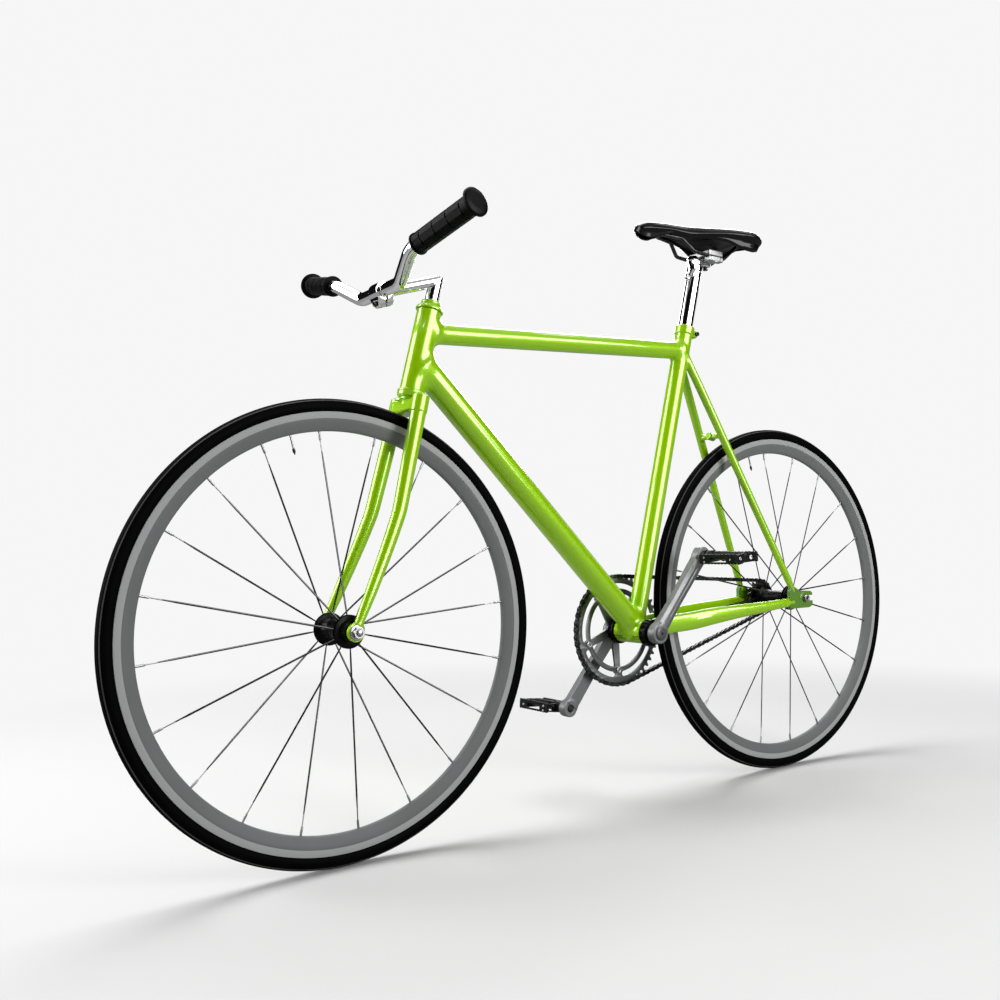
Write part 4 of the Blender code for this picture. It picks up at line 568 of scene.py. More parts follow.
finishes = {
    "limePaint": {"colour": (0.325, 0.640, 0.0005), "worn": (0.315, 0.622, 0.0005), "roughness": (0.36, 0.40),
                  "specular": 0.05, "coat": 1.0, "coatRoughness": 0.02, "coatIor": 1.64,
                  "metallic": 0.14, "patch": 6, "grain": 420, "bump": 0.004, "bumpDepth": 0.00005},
    "limeEnds": {"colour": (0.10, 0.26, 0.002), "worn": (0.085, 0.22, 0.002), "roughness": (0.28, 0.4),
                 "coat": 0.6, "coatRoughness": 0.08, "patch": 40, "grain": 2500, "bump": 0.06},
    "polishedChrome": {"colour": (0.90, 0.90, 0.91), "worn": (0.86, 0.86, 0.87), "metallic": 1.0,
                       "roughness": (0.010, 0.022), "patch": 25, "grain": 60, "bump": 0.004},
    "brightSteel": {"colour": (0.36, 0.36, 0.37), "worn": (0.26, 0.26, 0.27), "metallic": 1.0,
                    "roughness": (0.26, 0.38), "patch": 60, "grain": 2500, "bump": 0.08},
    "clampSteel": {"colour": (0.36, 0.36, 0.365), "worn": (0.31, 0.31, 0.315), "metallic": 0.8,
                   "roughness": (0.36, 0.44), "patch": 60, "grain": 1800, "bump": 0.06},
    "forgedGrey": {"colour": (0.165, 0.168, 0.170), "worn": (0.140, 0.143, 0.145), "metallic": 0.75,
                   "roughness": (0.42, 0.50), "specular": 0.3, "patch": 22, "grain": 900, "bump": 0.02},
    "ringGrey": {"colour": (0.13, 0.132, 0.134), "worn": (0.10, 0.102, 0.104), "metallic": 0.8,
                 "roughness": (0.34, 0.46), "patch": 24, "grain": 900, "bump": 0.05},
    "capGrey": {"colour": (0.09, 0.091, 0.093), "worn": (0.07, 0.071, 0.072), "metallic": 0.7,
                "roughness": (0.34, 0.46), "patch": 60, "grain": 900, "bump": 0.05},
    "cageBlack": {"colour": (0.003, 0.003, 0.0033), "worn": (0.005, 0.005, 0.0055), "metallic": 0.1,
                  "roughness": (0.30, 0.44), "specular": 0.14, "patch": 60, "grain": 900, "bump": 0.05},
    "rimGrey": {"colour": (0.172, 0.177, 0.179), "worn": (0.158, 0.163, 0.164), "metallic": 0.0,
                "roughness": (0.50, 0.56), "specular": 0.10, "patch": 9, "grain": 900, "bump": 0.01},
    "spokeBlack": {"colour": (0.035, 0.035, 0.037), "worn": (0.06, 0.06, 0.062), "metallic": 0.9,
                   "roughness": (0.18, 0.3), "patch": 30, "grain": 900, "bump": 0.02},
    "spokeBright": {"colour": (0.27, 0.27, 0.275), "worn": (0.20, 0.20, 0.205), "metallic": 1.0,
                    "roughness": (0.36, 0.48), "patch": 40, "grain": 1200, "bump": 0.03},
    "hubBlack": {"colour": (0.0018, 0.0018, 0.002), "worn": (0.003, 0.003, 0.0032), "metallic": 0.0,
                 "specular": 0.07, "roughness": (0.26, 0.38), "patch": 40, "grain": 2400, "bump": 0.05},
    "boltBlack": {"colour": (0.012, 0.012, 0.013), "worn": (0.05, 0.05, 0.05), "metallic": 0.8,
                  "roughness": (0.25, 0.42), "patch": 120, "grain": 2200, "bump": 0.08},
    "chainDark": {"colour": (0.012, 0.012, 0.0125), "worn": (0.050, 0.050, 0.052), "metallic": 0.75,
                  "roughness": (0.22, 0.42), "patch": 140, "grain": 2400, "bump": 0.08},
    "tyreRubber": {"colour": (0.0013, 0.0013, 0.0014), "worn": (0.0022, 0.0022, 0.0024), "metallic": 0.0,
                   "roughness": (0.55, 0.70), "specular": 0.012, "patch": 18, "grain": 700, "bump": 0.12},
    "treadRubber": {"colour": (0.045, 0.045, 0.046), "worn": (0.065, 0.065, 0.066), "metallic": 0.0,
                    "roughness": (0.58, 0.74), "specular": 0.2, "patch": 26, "grain": 800, "bump": 0.2},
    "gripRubber": {"colour": (0.0020, 0.0020, 0.0022), "worn": (0.0035, 0.0035, 0.0037), "metallic": 0.0,
                   "roughness": (0.36, 0.48), "specular": 0.06, "patch": 50, "grain": 900, "bump": 0.03},
    "glossLeather": {"colour": (0.0016, 0.0016, 0.0018), "worn": (0.0026, 0.0026, 0.0028), "metallic": 0.0,
                     "roughness": (0.28, 0.38), "specular": 0.05, "coat": 0.45, "coatRoughness": 0.07,
                     "coatIor": 1.45, "patch": 20, "grain": 700, "bump": 0.10, "bumpDepth": 0.0003},
    "baseShell": {"colour": (0.003, 0.003, 0.0032), "worn": (0.005, 0.005, 0.0053), "metallic": 0.0,
                  "roughness": (0.4, 0.55), "specular": 0.08, "patch": 40, "grain": 900, "bump": 0.12},
}
look = {name: finish(name, settings) for name, settings in finishes.items() if name != "rimGrey"}
paint = look["limePaint"][0]
print("finishes made:", len(look))


# stage: a pale floor that fades into the backdrop, lamps, and bright and dark cards that only gloss sees

stageSettings = {
    "backdrop": 0.925,
    "glossRoom": 0.44,
    "glossFloor": 0.32,
    "floorColour": 0.705,
    "floorBounce": 0.34,
    "floorSize": 30.0,
    "fadeStart": 1.15,
    "fadeEnd": 2.3,
    "worldLight": 0.26,
}


def addWorld(s):
    # camera and glass see the backdrop's colour, gloss a dimmer grey; other rays get a weaker even light
    world = bpy.data.worlds.new("paleRoom")
    bpy.context.scene.world = world
    world.use_nodes = True
    tree = world.node_tree
    tree.nodes.clear()
    out = tree.nodes.new("ShaderNodeOutputWorld")
    seen = tree.nodes.new("ShaderNodeBackground")
    lit = tree.nodes.new("ShaderNodeBackground")
    seen.inputs["Color"].default_value = (s["backdrop"],) * 3 + (1,)
    lit.inputs["Color"].default_value = (1, 1, 1, 1)
    lit.inputs["Strength"].default_value = s["worldLight"]
    path = tree.nodes.new("ShaderNodeLightPath")
    total = mathNode(tree, "ADD", (path, "Is Camera Ray"), (path, "Is Transmission Ray"), clamp=True)
    glossed = tree.nodes.new("ShaderNodeBackground")
    glossed.inputs["Color"].default_value = (s["glossRoom"],) * 3 + (1,)
    soft = tree.nodes.new("ShaderNodeMixShader")
    wire(tree, path, "Is Glossy Ray", soft, 0)
    tree.links.new(lit.outputs[0], soft.inputs[1])
    tree.links.new(glossed.outputs[0], soft.inputs[2])
    mix = tree.nodes.new("ShaderNodeMixShader")
    tree.links.new(total[0].outputs[0], mix.inputs[0])
    tree.links.new(soft.outputs[0], mix.inputs[1])
    tree.links.new(seen.outputs[0], mix.inputs[2])
    tree.links.new(mix.outputs[0], out.inputs["Surface"])


def addFloor(s):
    # matt near the bike, where it takes the shadow; past fadeStart it turns into the backdrop's colour
    size = s["floorSize"]
    mesh = bpy.data.meshes.new("floor")
    mesh.from_pydata([(-size, -size, 0), (size, -size, 0), (size, size, 0), (-size, size, 0)], [],
                     [(0, 1, 2, 3)])
    floor = bpy.data.objects.new("floor", mesh)
    floor.location = (0, 0, -0.0006)
    bpy.context.scene.collection.objects.link(floor)
    material = bpy.data.materials.new("paleFloor")
    material.use_nodes = True
    tree = material.node_tree
    tree.nodes.remove(tree.nodes["Principled BSDF"])
    matt = tree.nodes.new("ShaderNodeBsdfDiffuse")
    path = tree.nodes.new("ShaderNodeLightPath")
    tint = tree.nodes.new("ShaderNodeMix")
    tint.data_type = "RGBA"
    tint.inputs["A"].default_value = (s["floorBounce"],) * 3 + (1,)
    tint.inputs["B"].default_value = (s["floorColour"],) * 3 + (1,)
    wire(tree, path, "Is Camera Ray", tint, "Factor")
    tree.links.new(tint.outputs["Result"], matt.inputs["Color"])
    glow = tree.nodes.new("ShaderNodeEmission")
    far = tree.nodes.new("ShaderNodeMix")
    far.data_type = "RGBA"
    far.inputs["A"].default_value = (s["glossFloor"],) * 3 + (1,)
    far.inputs["B"].default_value = (s["backdrop"],) * 3 + (1,)
    wire(tree, path, "Is Camera Ray", far, "Factor")
    tree.links.new(far.outputs["Result"], glow.inputs["Color"])
    place = tree.nodes.new("ShaderNodeTexCoord")
    length = tree.nodes.new("ShaderNodeVectorMath")
    length.operation = "LENGTH"
    wire(tree, place, "Object", length, 0)
    fade = tree.nodes.new("ShaderNodeMapRange")
    fade.interpolation_type = "SMOOTHSTEP"
    fade.inputs["From Min"].default_value = s["fadeStart"]
    fade.inputs["From Max"].default_value = s["fadeEnd"]
    wire(tree, length, "Value", fade, "Value")
    mix = tree.nodes.new("ShaderNodeMixShader")
    wire(tree, fade, "Result", mix, 0)
    tree.links.new(matt.outputs[0], mix.inputs[1])
    tree.links.new(glow.outputs[0], mix.inputs[2])
    tree.links.new(mix.outputs[0], tree.nodes["Material Output"].inputs["Surface"])
    mesh.materials.append(material)


lamps = {
    "ceiling": {"place": (0.1, -1.3, 4.2), "aim": (0, 0, 0), "size": (3.6, 2.4), "power": 165},
    "leftStrip": {"place": (-0.95, 3.05, 1.25), "aim": (0, 0, 0.7), "size": (1.1, 2.0), "power": 62},
    "frontStrip": {"place": (2.95, -1.35, 1.2), "aim": (0, 0, 0.7), "size": (1.0, 1.8), "power": 52},
}


def addLamp(name, s):
    # the lamp's own x stays level, so that size is width by height
    data = bpy.data.lights.new(name, "AREA")
    data.shape = "RECTANGLE"
    data.size, data.size_y = s["size"]
    data.energy = s["power"]
    lamp = bpy.data.objects.new(name, data)
    way = Vector(s["aim"]) - Vector(s["place"])
    turn = way.to_track_quat("-Z", "Y").to_matrix().to_4x4()
    lamp.matrix_world = Matrix.Translation(s["place"]) @ turn
    bpy.context.scene.collection.objects.link(lamp)


# each card: its two azimuths and two elevations in degrees, seen from the middle; glow is 0 for a dark one
cards = {
    "leftGlow": {"azimuth": (80, 122), "elevation": (2, 36), "away": 3.0, "shade": 0.5, "glow": 8},
    "stripGlow": {"azimuth": (121, 136), "elevation": (11, 30), "away": 3.0, "shade": 0.5, "glow": 8},
    "frontGlow": {"azimuth": (-50, -12), "elevation": (2, 40), "away": 3.0, "shade": 0.5, "glow": 7},
    "topGlow": {"azimuth": (173, 196), "elevation": (46, 56), "away": 3.0, "shade": 0.5, "glow": 3},
    "rearGlow": {"azimuth": (208, 240), "elevation": (15, 38), "away": 3.0, "shade": 0.5, "glow": 12},
    "cameraSide": {"azimuth": (-10, 68), "elevation": (-2, 42), "away": 4.6, "shade": 0.01},
    "leftRear": {"azimuth": (139, 190), "elevation": (-1, 40), "away": 4.6, "shade": 0.01},
    "rightFront": {"azimuth": (-132, -52), "elevation": (-4, 43), "away": 4.6, "shade": 0.01},
    "behindHigh": {"azimuth": (190, 264), "elevation": (17, 46), "away": 4.6, "shade": 0.01},
}


def addCard(name, s):
    # part of a drum round the bike; the camera and the matt light don't see it
    turn = np.radians(np.linspace(*s["azimuth"], 13))
    heights = 0.75 + s["away"] * np.tan(np.radians(np.array(s["elevation"])))
    points = np.array([(s["away"] * np.cos(a), s["away"] * np.sin(a), max(h, 0.02))
                       for h in heights for a in turn])
    faces = [(i, i + 1, i + 14, i + 13) for i in range(12)]
    mesh = bpy.data.meshes.new(name)
    mesh.from_pydata(points.tolist(), [], faces)
    card = bpy.data.objects.new(name, mesh)
    bpy.context.scene.collection.objects.link(card)
    material = bpy.data.materials.new(name)
    material.use_nodes = True
    shader = material.node_tree.nodes["Principled BSDF"]
    shader.inputs["Base Color"].default_value = (s["shade"],) * 3 + (1,)
    shader.inputs["Roughness"].default_value = 1.0
    shader.inputs["Specular IOR Level"].default_value = 0.0
    shader.inputs["Emission Color"].default_value = (1, 1, 1, 1)
    shader.inputs["Emission Strength"].default_value = s.get("glow", 0)
    mesh.materials.append(material)
    for ray in ("camera", "diffuse", "shadow", "transmission", "volume_scatter"):
        setattr(card, f"visible_{ray}", False)


bpy.context.scene.view_settings.view_transform = "Standard"
addWorld(stageSettings)
addFloor(stageSettings)
for lampName, lampSettings in lamps.items():
    addLamp(lampName, lampSettings)
for cardName, cardSettings in cards.items():
    addCard(cardName, cardSettings)
print("stage set")


# frame

frameSizes = {
    "steerXAtGround": 0.5367, "steerSlope": 0.26782,
    "seatSlope": -0.269, "seatOffset": -0.0928,
    "headLow": 0.687, "headTop": 0.8145, "headRadius": 0.0190,
    "mainRadius": 0.0157, "downRadius": 0.0213,
    "bracket": (-0.094, 0, 0.2925), "shellRadius": 0.0198, "shellHalf": 0.034,
    "seatTubeTop": 0.850, "collarLow": 0.835, "collarRadius": 0.0178,
    "weld": 0.009, "headWeld": 0.015, "stayWeld": 0.004, "cell": 0.0021,
    "topTube": ((312.1, 0, 780.2), (-225.1, 0, 804.5)),
    "downTube": ((334.5, 0, 729.4), (-96.8, 0, 298.9)),
    "bridge": ((-304, -27.3, 647), (-304, 27.3, 647)), "bridgeRadius": 0.005,
    "bridgeMount": ((-312, 0, 645), (-296, 0, 649)), "mountRadius": 0.007,
    "shellBore": 0.0177, "seatBore": 0.0142, "lugLow": 0.829, "lugCell": 0.0008,
    "earZ": 0.838, "earSize": (13, 17, 13), "slitSize": (26, 1.6, 30),
    "endPlate": (0.060, 0.067), "endFace": (0.0665, 0.0674), "endFaceRadius": 0.0125,
    "axleSlot": (28, 20, 10.4), "endCell": 0.0009,
}


def steerPoint(z, forward=0.0, left=0.0):
    base = np.array((frameSizes["steerXAtGround"] - frameSizes["steerSlope"] * z, 0, z))
    return base + steerForward * forward + side * left


def seatPoint(z):
    f = frameSizes
    return np.array((f["seatOffset"] + f["seatSlope"] * (z - f["bracket"][2]), 0, z))


steerUp = unit((-frameSizes["steerSlope"], 0, 1))
steerForward = np.array((steerUp[2], 0, -steerUp[0]))
seatUp = unit((frameSizes["seatSlope"], 0, 1))
bracket = np.array(frameSizes["bracket"])
frontAxle = np.array((0.4805, 0, 0.334))
rearAxle = np.array((-0.4805, 0, 0.334))
mirrorY = np.array((1.0, -1.0, 1.0))

chainStayRows = [
    (-104, 20, 295.0, 7.8, 14.6), (-140, 23, 301.3, 8.3, 16.2), (-205, 31.5, 306.0, 7.8, 16.4),
    (-245, 40.5, 311.5, 8.3, 15.4), (-300, 48.7, 317, 8.2, 13.0), (-355, 55, 321.0, 7.6, 10.8),
    (-410, 60.5, 325.5, 6.4, 8.8), (-450, 63.5, 328.3, 3.8, 7.8)]
chainStay = smoothRow(chainStayRows, 30) * mm
seatStay = np.array([(-233, 8.6, 791), (-258.5, 15.7, 740), (-350, 39.1, 552.5), (-439.5, 62, 370),
                     (-449.5, 63.5, 349)]) * mm
seatStayRadius = np.array([7.8, 7.8, 7.2, 6.6, 4.3]) * mm
dropoutOutline = np.array([
    (-437, 315.6), (-494, 315.6), (-502, 318.5), (-505, 322), (-505, 329), (-478, 329),
    (-474.6, 330.5), (-473.2, 334), (-474.6, 337.5), (-478, 339), (-505, 339), (-503.5, 345),
    (-498, 347.5), (-466, 349.5), (-454, 356), (-441, 356), (-437, 350)]) * mm


def frameField(p):
    # every tube of the frame melded with weld fillets; both sides are folded onto the left one
    f = frameSizes
    w = f["weld"]
    folded = p * (1, 0, 1) + side * np.abs(p[:, 1:2])
    head = rodField(p, steerPoint(f["headLow"]), steerPoint(f["headTop"]), f["headRadius"])
    top = rodField(p, vec(*f["topTube"][0]), vec(*f["topTube"][1]), f["mainRadius"])
    down = rodField(p, vec(*f["downTube"][0]), vec(*f["downTube"][1]), f["downRadius"])
    seat = rodField(p, seatPoint(f["bracket"][2]), seatPoint(f["lugLow"] + 0.002), f["mainRadius"])
    shellEnd = side * f["shellHalf"]
    shell = rodField(p, bracket - shellEnd, bracket + shellEnd, f["shellRadius"])
    stayLow = pathField(folded, chainStay[:, :3], chainStay[:, 3], chainStay[:, 4])
    stayHigh = pathField(folded, seatStay, seatStayRadius, seatStayRadius)
    bridge = rodField(p, vec(*f["bridge"][0]), vec(*f["bridge"][1]), f["bridgeRadius"])
    bridgeMount = rodField(p, vec(*f["bridgeMount"][0]), vec(*f["bridgeMount"][1]), f["mountRadius"])
    front = meld(meld(down, head, f["headWeld"]), top, f["headWeld"])
    d = meld(meld(seat, shell, w), front, w)
    d = meld(d, meld(bridge, bridgeMount, 0.003), 0.001)
    d = meld(d, stayHigh, f["stayWeld"])
    d = meld(d, stayLow, f["stayWeld"])
    return np.maximum(d, -rodField(p, bracket - side * 0.05, bracket + side * 0.05, f["shellBore"]))


def lugField(p):
    # the seat tube's top: a collar and its ears melded on, then the bore and the slit behind carved out
    f = frameSizes
    seat = rodField(p, seatPoint(f["lugLow"]), seatPoint(f["seatTubeTop"]), f["mainRadius"])
    collar = rodField(p, seatPoint(f["collarLow"]), seatPoint(f["seatTubeTop"]), f["collarRadius"], 0.0015)
    earPlace = seatPoint(f["earZ"])
    ear = blockField(p, earPlace - vec(21.5, 0, 0), (1, 0, 0), seatUp, vec(*f["earSize"]), 0.003)
    bore = rodField(p, seatPoint(f["lugLow"] - 0.01), seatPoint(0.90), f["seatBore"])
    slit = blockField(p, earPlace - vec(22.5, 0, 0), (1, 0, 0), seatUp, vec(*f["slitSize"]), 0.0002)
    return carve(carve(meld(meld(seat, collar, 0.002), ear, 0.002), bore), slit, 0.0004)


def dropoutField(p):
    # a plate over the track end's outline with a raised face round its open slot; the outline's z is -y
    f = frameSizes
    folded = p * (1, 0, 1) + side * np.abs(p[:, 1:2])
    near, far = f["endPlate"]
    d = outlineField(folded, dropoutOutline, -far, -near, (0, 0, 0), (1, 0, 0), (0, 0, 1), 0.0008)
    face = rodField(folded, rearAxle + side * f["endFace"][0], rearAxle + side * f["endFace"][1],
                    f["endFaceRadius"], 0.0003)
    slot = blockField(folded, vec(-492, 63.5, 334), (1, 0, 0), (0, 0, 1), vec(*f["axleSlot"]), 0.001)
    return carve(meld(d, face, 0.0008), slot, 0.0006)


frameShell = sculpt(frameField, vec(-462, -75, 268), vec(372, 75, 862), frameSizes["cell"])
addPiece("frameShell", frameShell, paint, "frame", ("frame",), 60)
lugMiddle = seatPoint(0.840)
seatLug = sculpt(lugField, lugMiddle - vec(42, 22, 18), lugMiddle + vec(24, 22, 18),
                 frameSizes["lugCell"], 1)
addPiece("seatLug", seatLug, paint, "frame", ("frame",), 50)
dropouts = sculpt(dropoutField, vec(-512, -75, 308), vec(-430, 75, 362), frameSizes["endCell"], 1)
addPiece("trackEnds", dropouts, look["limeEnds"][0], "frame", ("frame",), 40)
print("frame skinned:", len(frameShell[0]), "points")


# headset

headsetSizes = {"around": 96, "cupBore": 13.5, "raceBore": 13.2}  # bores in mm


def steerHeight(z):
    return (z - frameSizes["headLow"]) * math.hypot(1, frameSizes["steerSlope"])


def headsetRing(outer, inner):
    # a closed ring section: the outer line from the top down, then the bore back up, in mm up the
    # steering axis
    line = [(r, h) for r, h in outer] + [(inner, outer[-1][1]), (inner, outer[0][1])]
    return revolve(np.array(line) * mm, steerPoint(frameSizes["headLow"]), steerUp,
                   headsetSizes["around"], closed=True)


headEnd = steerHeight(frameSizes["headTop"]) / mm
lowerCupEnd = steerHeight(0.6768) / mm
upperCupEnd = steerHeight(0.8196) / mm
lockTop = steerHeight(0.8292) / mm
addPiece("lowerCup", headsetRing([(21.2, -0.3), (21.6, -0.7), (21.6, -3.4), (20.9, -4.0), (20.9, -4.4),
                                  (21.3, -5.0), (20.6, -8.8), (19.8, lowerCupEnd + 0.3),
                                  (19.5, lowerCupEnd)], headsetSizes["cupBore"]), paint, "frame",
         ("headset_cup_lower",))
addPiece("upperCup", headsetRing([(20.4, upperCupEnd), (20.9, upperCupEnd - 0.5), (21.2, headEnd + 3.0),
                                  (21.6, headEnd + 2.6), (21.6, headEnd + 0.7), (21.2, headEnd + 0.3)],
                                 headsetSizes["cupBore"]), paint, "frame",
         ("headset_cup_upper",))
crownTop = steerHeight(0.672) / mm + 0.3
addPiece("crownRace", headsetRing([(15.8, lowerCupEnd - 0.3), (16.5, crownTop + 1.6), (16.5, crownTop)],
                                  headsetSizes["raceBore"]), paint, "fork", ("crown_race",))
raceBase = upperCupEnd + 0.3
addPiece("topRace", headsetRing([(15.3, raceBase + 4.6), (15.7, raceBase + 4.3), (16.4, raceBase + 1.2),
                                 (16.8, raceBase + 0.4), (16.6, raceBase)], headsetSizes["raceBore"]),
         paint, "fork", ("headset_top_race",))
nutBase = raceBase + 4.9
nutOutline = [(15.0, lockTop), (15.4, lockTop - 0.5), (15.5, nutBase + 0.4), (15.3, nutBase)]
addPiece("lockNut", headsetRing(nutOutline, headsetSizes["raceBore"]), paint, "fork",
         ("headset_locknut",))


# fork

forkSizes = {
    "topZ": 0.700, "length": 0.379, "rake": 0.033, "crownZ": 0.662,
    "bladeTopY": 0.0335, "bladeTipY": 0.053, "cell": 0.0017, "weld": 0.003,
    "drops": (30, 60, 120, 195, 240, 285, 325, 368),
    "radii": (11.8, 11.8, 11.5, 10.8, 10.1, 9.2, 8.3, 6.2),
    "crownSize": (25, 64, 20.6), "socketRadius": 0.0128, "eyeRadius": 0.0134, "eyeBore": 0.0049,
    "steererRadius": 0.0127, "bendFrom": 0.2, "bladeFrom": 0.03,
}


def bladePoint(drop):
    # a point on the left blade's centre line, drop metres down the axis; the rake grows as the 1.2th
    # power
    s = forkSizes
    bent = max(0.0, (drop - s["bendFrom"]) / (s["length"] - s["bendFrom"]))
    straight = (drop - s["bladeFrom"]) / (s["length"] - s["bladeFrom"])
    y = s["bladeTopY"] + (s["bladeTipY"] - s["bladeTopY"]) * straight
    perZ = math.hypot(1, frameSizes["steerSlope"])
    point = steerPoint(s["topZ"] - drop / perZ)
    return point + np.array((s["rake"] * bent ** 1.2 * perZ, y, 0))


bladeDrops = np.interp(np.linspace(0, 7, 36), range(8), forkSizes["drops"]) * mm
bladeLine = np.array([bladePoint(d) for d in bladeDrops])
bladeRadii = smoothRow(np.array([forkSizes["radii"]]).T, 36)[:, 0] * mm


def forkField(p):
    # crown block, steerer and two raked blades, melded; the sides are folded together
    s = forkSizes
    folded = p * (1, 0, 1) + side * np.abs(p[:, 1:2])
    crown = blockField(p, steerPoint(s["crownZ"]), (1, 0, 0), steerUp, vec(*s["crownSize"]), 0.0045)
    blade = pathField(folded, bladeLine, bladeRadii, bladeRadii)
    socket = rodField(folded, bladePoint(0.050), bladePoint(0.024), s["socketRadius"], 0.0012)
    eye = rodField(folded, frontAxle + side * 0.050, frontAxle + side * 0.056, s["eyeRadius"], 0.001)
    d = meld(crown, socket, s["weld"])
    d = meld(d, blade, 0.0012)
    d = meld(d, rodField(p, steerPoint(0.665), steerPoint(s["topZ"]), s["steererRadius"]), 0.002)
    d = meld(d, eye, 0.004)
    return carve(d, rodField(folded, frontAxle + side * 0.03, frontAxle + side * 0.07, s["eyeBore"]))


forkShell = sculpt(forkField, vec(325, -70, 312), vec(505, 70, 705), forkSizes["cell"])
addPiece("forkShell", forkShell, paint, "fork", ("fork",), 60)
steerer = revolve(np.array([(12.7, steerHeight(0.69) / mm), (12.7, steerHeight(0.8276) / mm),
                            (12.4, steerHeight(0.828) / mm), (11.5, steerHeight(0.828) / mm),
                            (11.5, steerHeight(0.69) / mm)]) * mm,
                  steerPoint(frameSizes["headLow"]), steerUp, 64, closed=True)
addPiece("steererTube", steerer, look["brightSteel"][0], "fork", ("fork",))
print("fork skinned:", len(forkShell[0]), "points")


# stem

stemSizes = {
    "elbowZ": 0.8639, "bar": (0.4039, 0, 0.8344), "quillRadius": 0.0110, "quillLow": 0.760,
    "corner": 0.0095, "extensionRadius": 0.0094, "clampRadius": 0.0141, "clampHalf": 0.0135,
    "boltDown": 0.0157, "cell": 0.0008,
}
barCentre = np.array(stemSizes["bar"])
stemElbow = steerPoint(stemSizes["elbowZ"])
extension = unit(barCentre - stemElbow)
extensionDown = np.array((extension[2], 0, -extension[0]))
mitre = unit(steerUp + extension)
elbowOut = unit(steerUp - extension)


def trim(a, b, fillet=0.0008):
    # the overlap of two fields, its rim rounded
    return -meld(-a, -b, fillet)


def clampPoint(along, down, left=0.0):
    return barCentre + extension * along + extensionDown * down + side * left


def stemField(p):
    # quill and extension meet on the mitre plane; the corner is cut flat; the ears taper to their foot
    s = stemSizes
    q = p - stemElbow
    quill = rodField(p, steerPoint(s["quillLow"]), stemElbow + steerUp * 0.03, s["quillRadius"])
    reach = rodField(p, stemElbow - extension * 0.03, barCentre - extension * 0.008, s["extensionRadius"])
    d = meld(trim(quill, q @ mitre, 0.0003), trim(reach, -(q @ mitre), 0.0003), 0.0010)
    d = trim(d, q @ elbowOut - s["corner"], 0.0008)
    clamp = rodField(p, barCentre - side * s["clampHalf"], barCentre + side * s["clampHalf"],
                     s["clampRadius"], 0.0010)
    r = p - barCentre
    along, down, left = r @ extension, r @ extensionDown, np.abs(r[:, 1])
    half = np.interp(down, vec(0, 9, 17, 22.6), vec(13.3, 13.3, 8.6, 6.6))
    ears = trim(np.abs(along) - np.interp(down, vec(0, 17, 22.6), vec(13.5, 13.2, 11.8)),
                (left - half) * 0.86, 0.0012)
    ears = trim(trim(ears, down - 0.0226, 0.0012), -down, 0.0004)
    d = meld(meld(d, clamp, 0.0012), ears, 0.0010)
    d = carve(d, rodField(p, barCentre - side * 0.04, barCentre + side * 0.04, 0.0105, 0.0001), 0.0005)
    slit = np.maximum(np.abs(along + 0.001) - 0.0015, 0.005 - down)
    d = carve(d, slit, 0.0006)
    d = carve(d, rodField(p, clampPoint(-0.03, s["boltDown"]), clampPoint(0.03, s["boltDown"]), 0.0033),
              0.0005)
    d = carve(d, rodField(p, steerPoint(0.74), steerPoint(0.90), 0.0041), 0.0004)
    return carve(d, rodField(p, steerPoint(0.865), steerPoint(0.90), 0.0069), 0.0006)


stemShell = sculpt(stemField, vec(288, -16, 745), vec(420, 16, 884), stemSizes["cell"], 2)
addPiece("stemBody", stemShell, look["polishedChrome"][0], "stem", ("stem",), 50)


def capScrew(headRadius, headHeight, shankRadius, shankLength, centre, axis, key=0.005):
    # a socket head screw whose head's foot is at height 0: rounded head, hex socket and shank
    top = headHeight
    line = [(1e-4, top - headHeight * 0.6), (key / 2, top - headHeight * 0.6),
            (key / 2 * 1.04, top - 0.0002), (key / 2 + 0.0006, top), (headRadius - 0.0007, top),
            (headRadius - 0.0002, top - 0.0002), (headRadius, top - 0.0007), (headRadius, 0),
            (shankRadius, 0), (shankRadius, -shankLength)]

    def radiusAt(r, h, t):
        flat = key / 2 / np.cos((t + math.pi / 6) % (math.pi / 3) - math.pi / 6)
        index = np.zeros(r.shape, bool)
        index[1:3] = True
        return np.where(index, flat, r)
    return revolve(line, centre, axis, 48, radiusAt)


addPiece("stemExpanderBolt", capScrew(0.0062, 0.0052, 0.0036, 0.07, steerPoint(0.8654), steerUp, 0.006),
         look["boltBlack"][0], "stem", ("stem_expander",))
wedge = revolve(np.array([(0.1, 0), (10.6, 0), (10.9, -0.4), (10.9, -21), (9, -27), (0.1, -27)]) * mm,
                steerPoint(0.7597), steerUp, 48)
addPiece("stemWedge", wedge, look["brightSteel"][0], "stem", ("stem_expander",))
addPiece("stemClampBolt", capScrew(0.0044, 0.0030, 0.0029, 0.029, clampPoint(0.0138, 0.0157), extension,
                                   0.0042), look["boltBlack"][0], "stem", ("stem_clamp_bolt",))
addPiece("stemClampNut", capScrew(0.0042, 0.0026, 0.0028, 0.002, clampPoint(-0.0138, 0.0157), -extension,
                                  0.0040), look["boltBlack"][0], "stem", ("stem_clamp_bolt",))
print("stem made")


# handlebar and grips

barSizes = {
    "radius": 0.0103, "elbowY": 0.0585, "bend": (419.3, 117.5, 867), "end": (397.5, 250, 900),
    "gripStart": 16, "gripRadius": 15.4, "flangeRadius": 20.8, "groove": 13.6, "flat": 14.3, "turn": 0.0,
}
bend = vec(*barSizes["bend"])
gripEnd = vec(*barSizes["end"])
gripWay = unit(gripEnd - bend)
barLine = bentPath([(gripEnd - gripWay * 0.006) * mirrorY, bend * mirrorY,
                    barCentre - side * barSizes["elbowY"], barCentre + side * barSizes["elbowY"],
                    bend, gripEnd - gripWay * 0.006], [0.06, 0.035, 0.035, 0.06], 16, 12)
addPiece("handlebarTube", tube(barLine, barSizes["radius"], 48), look["polishedChrome"][0], "handlebar",
         ("handlebar",), 60)


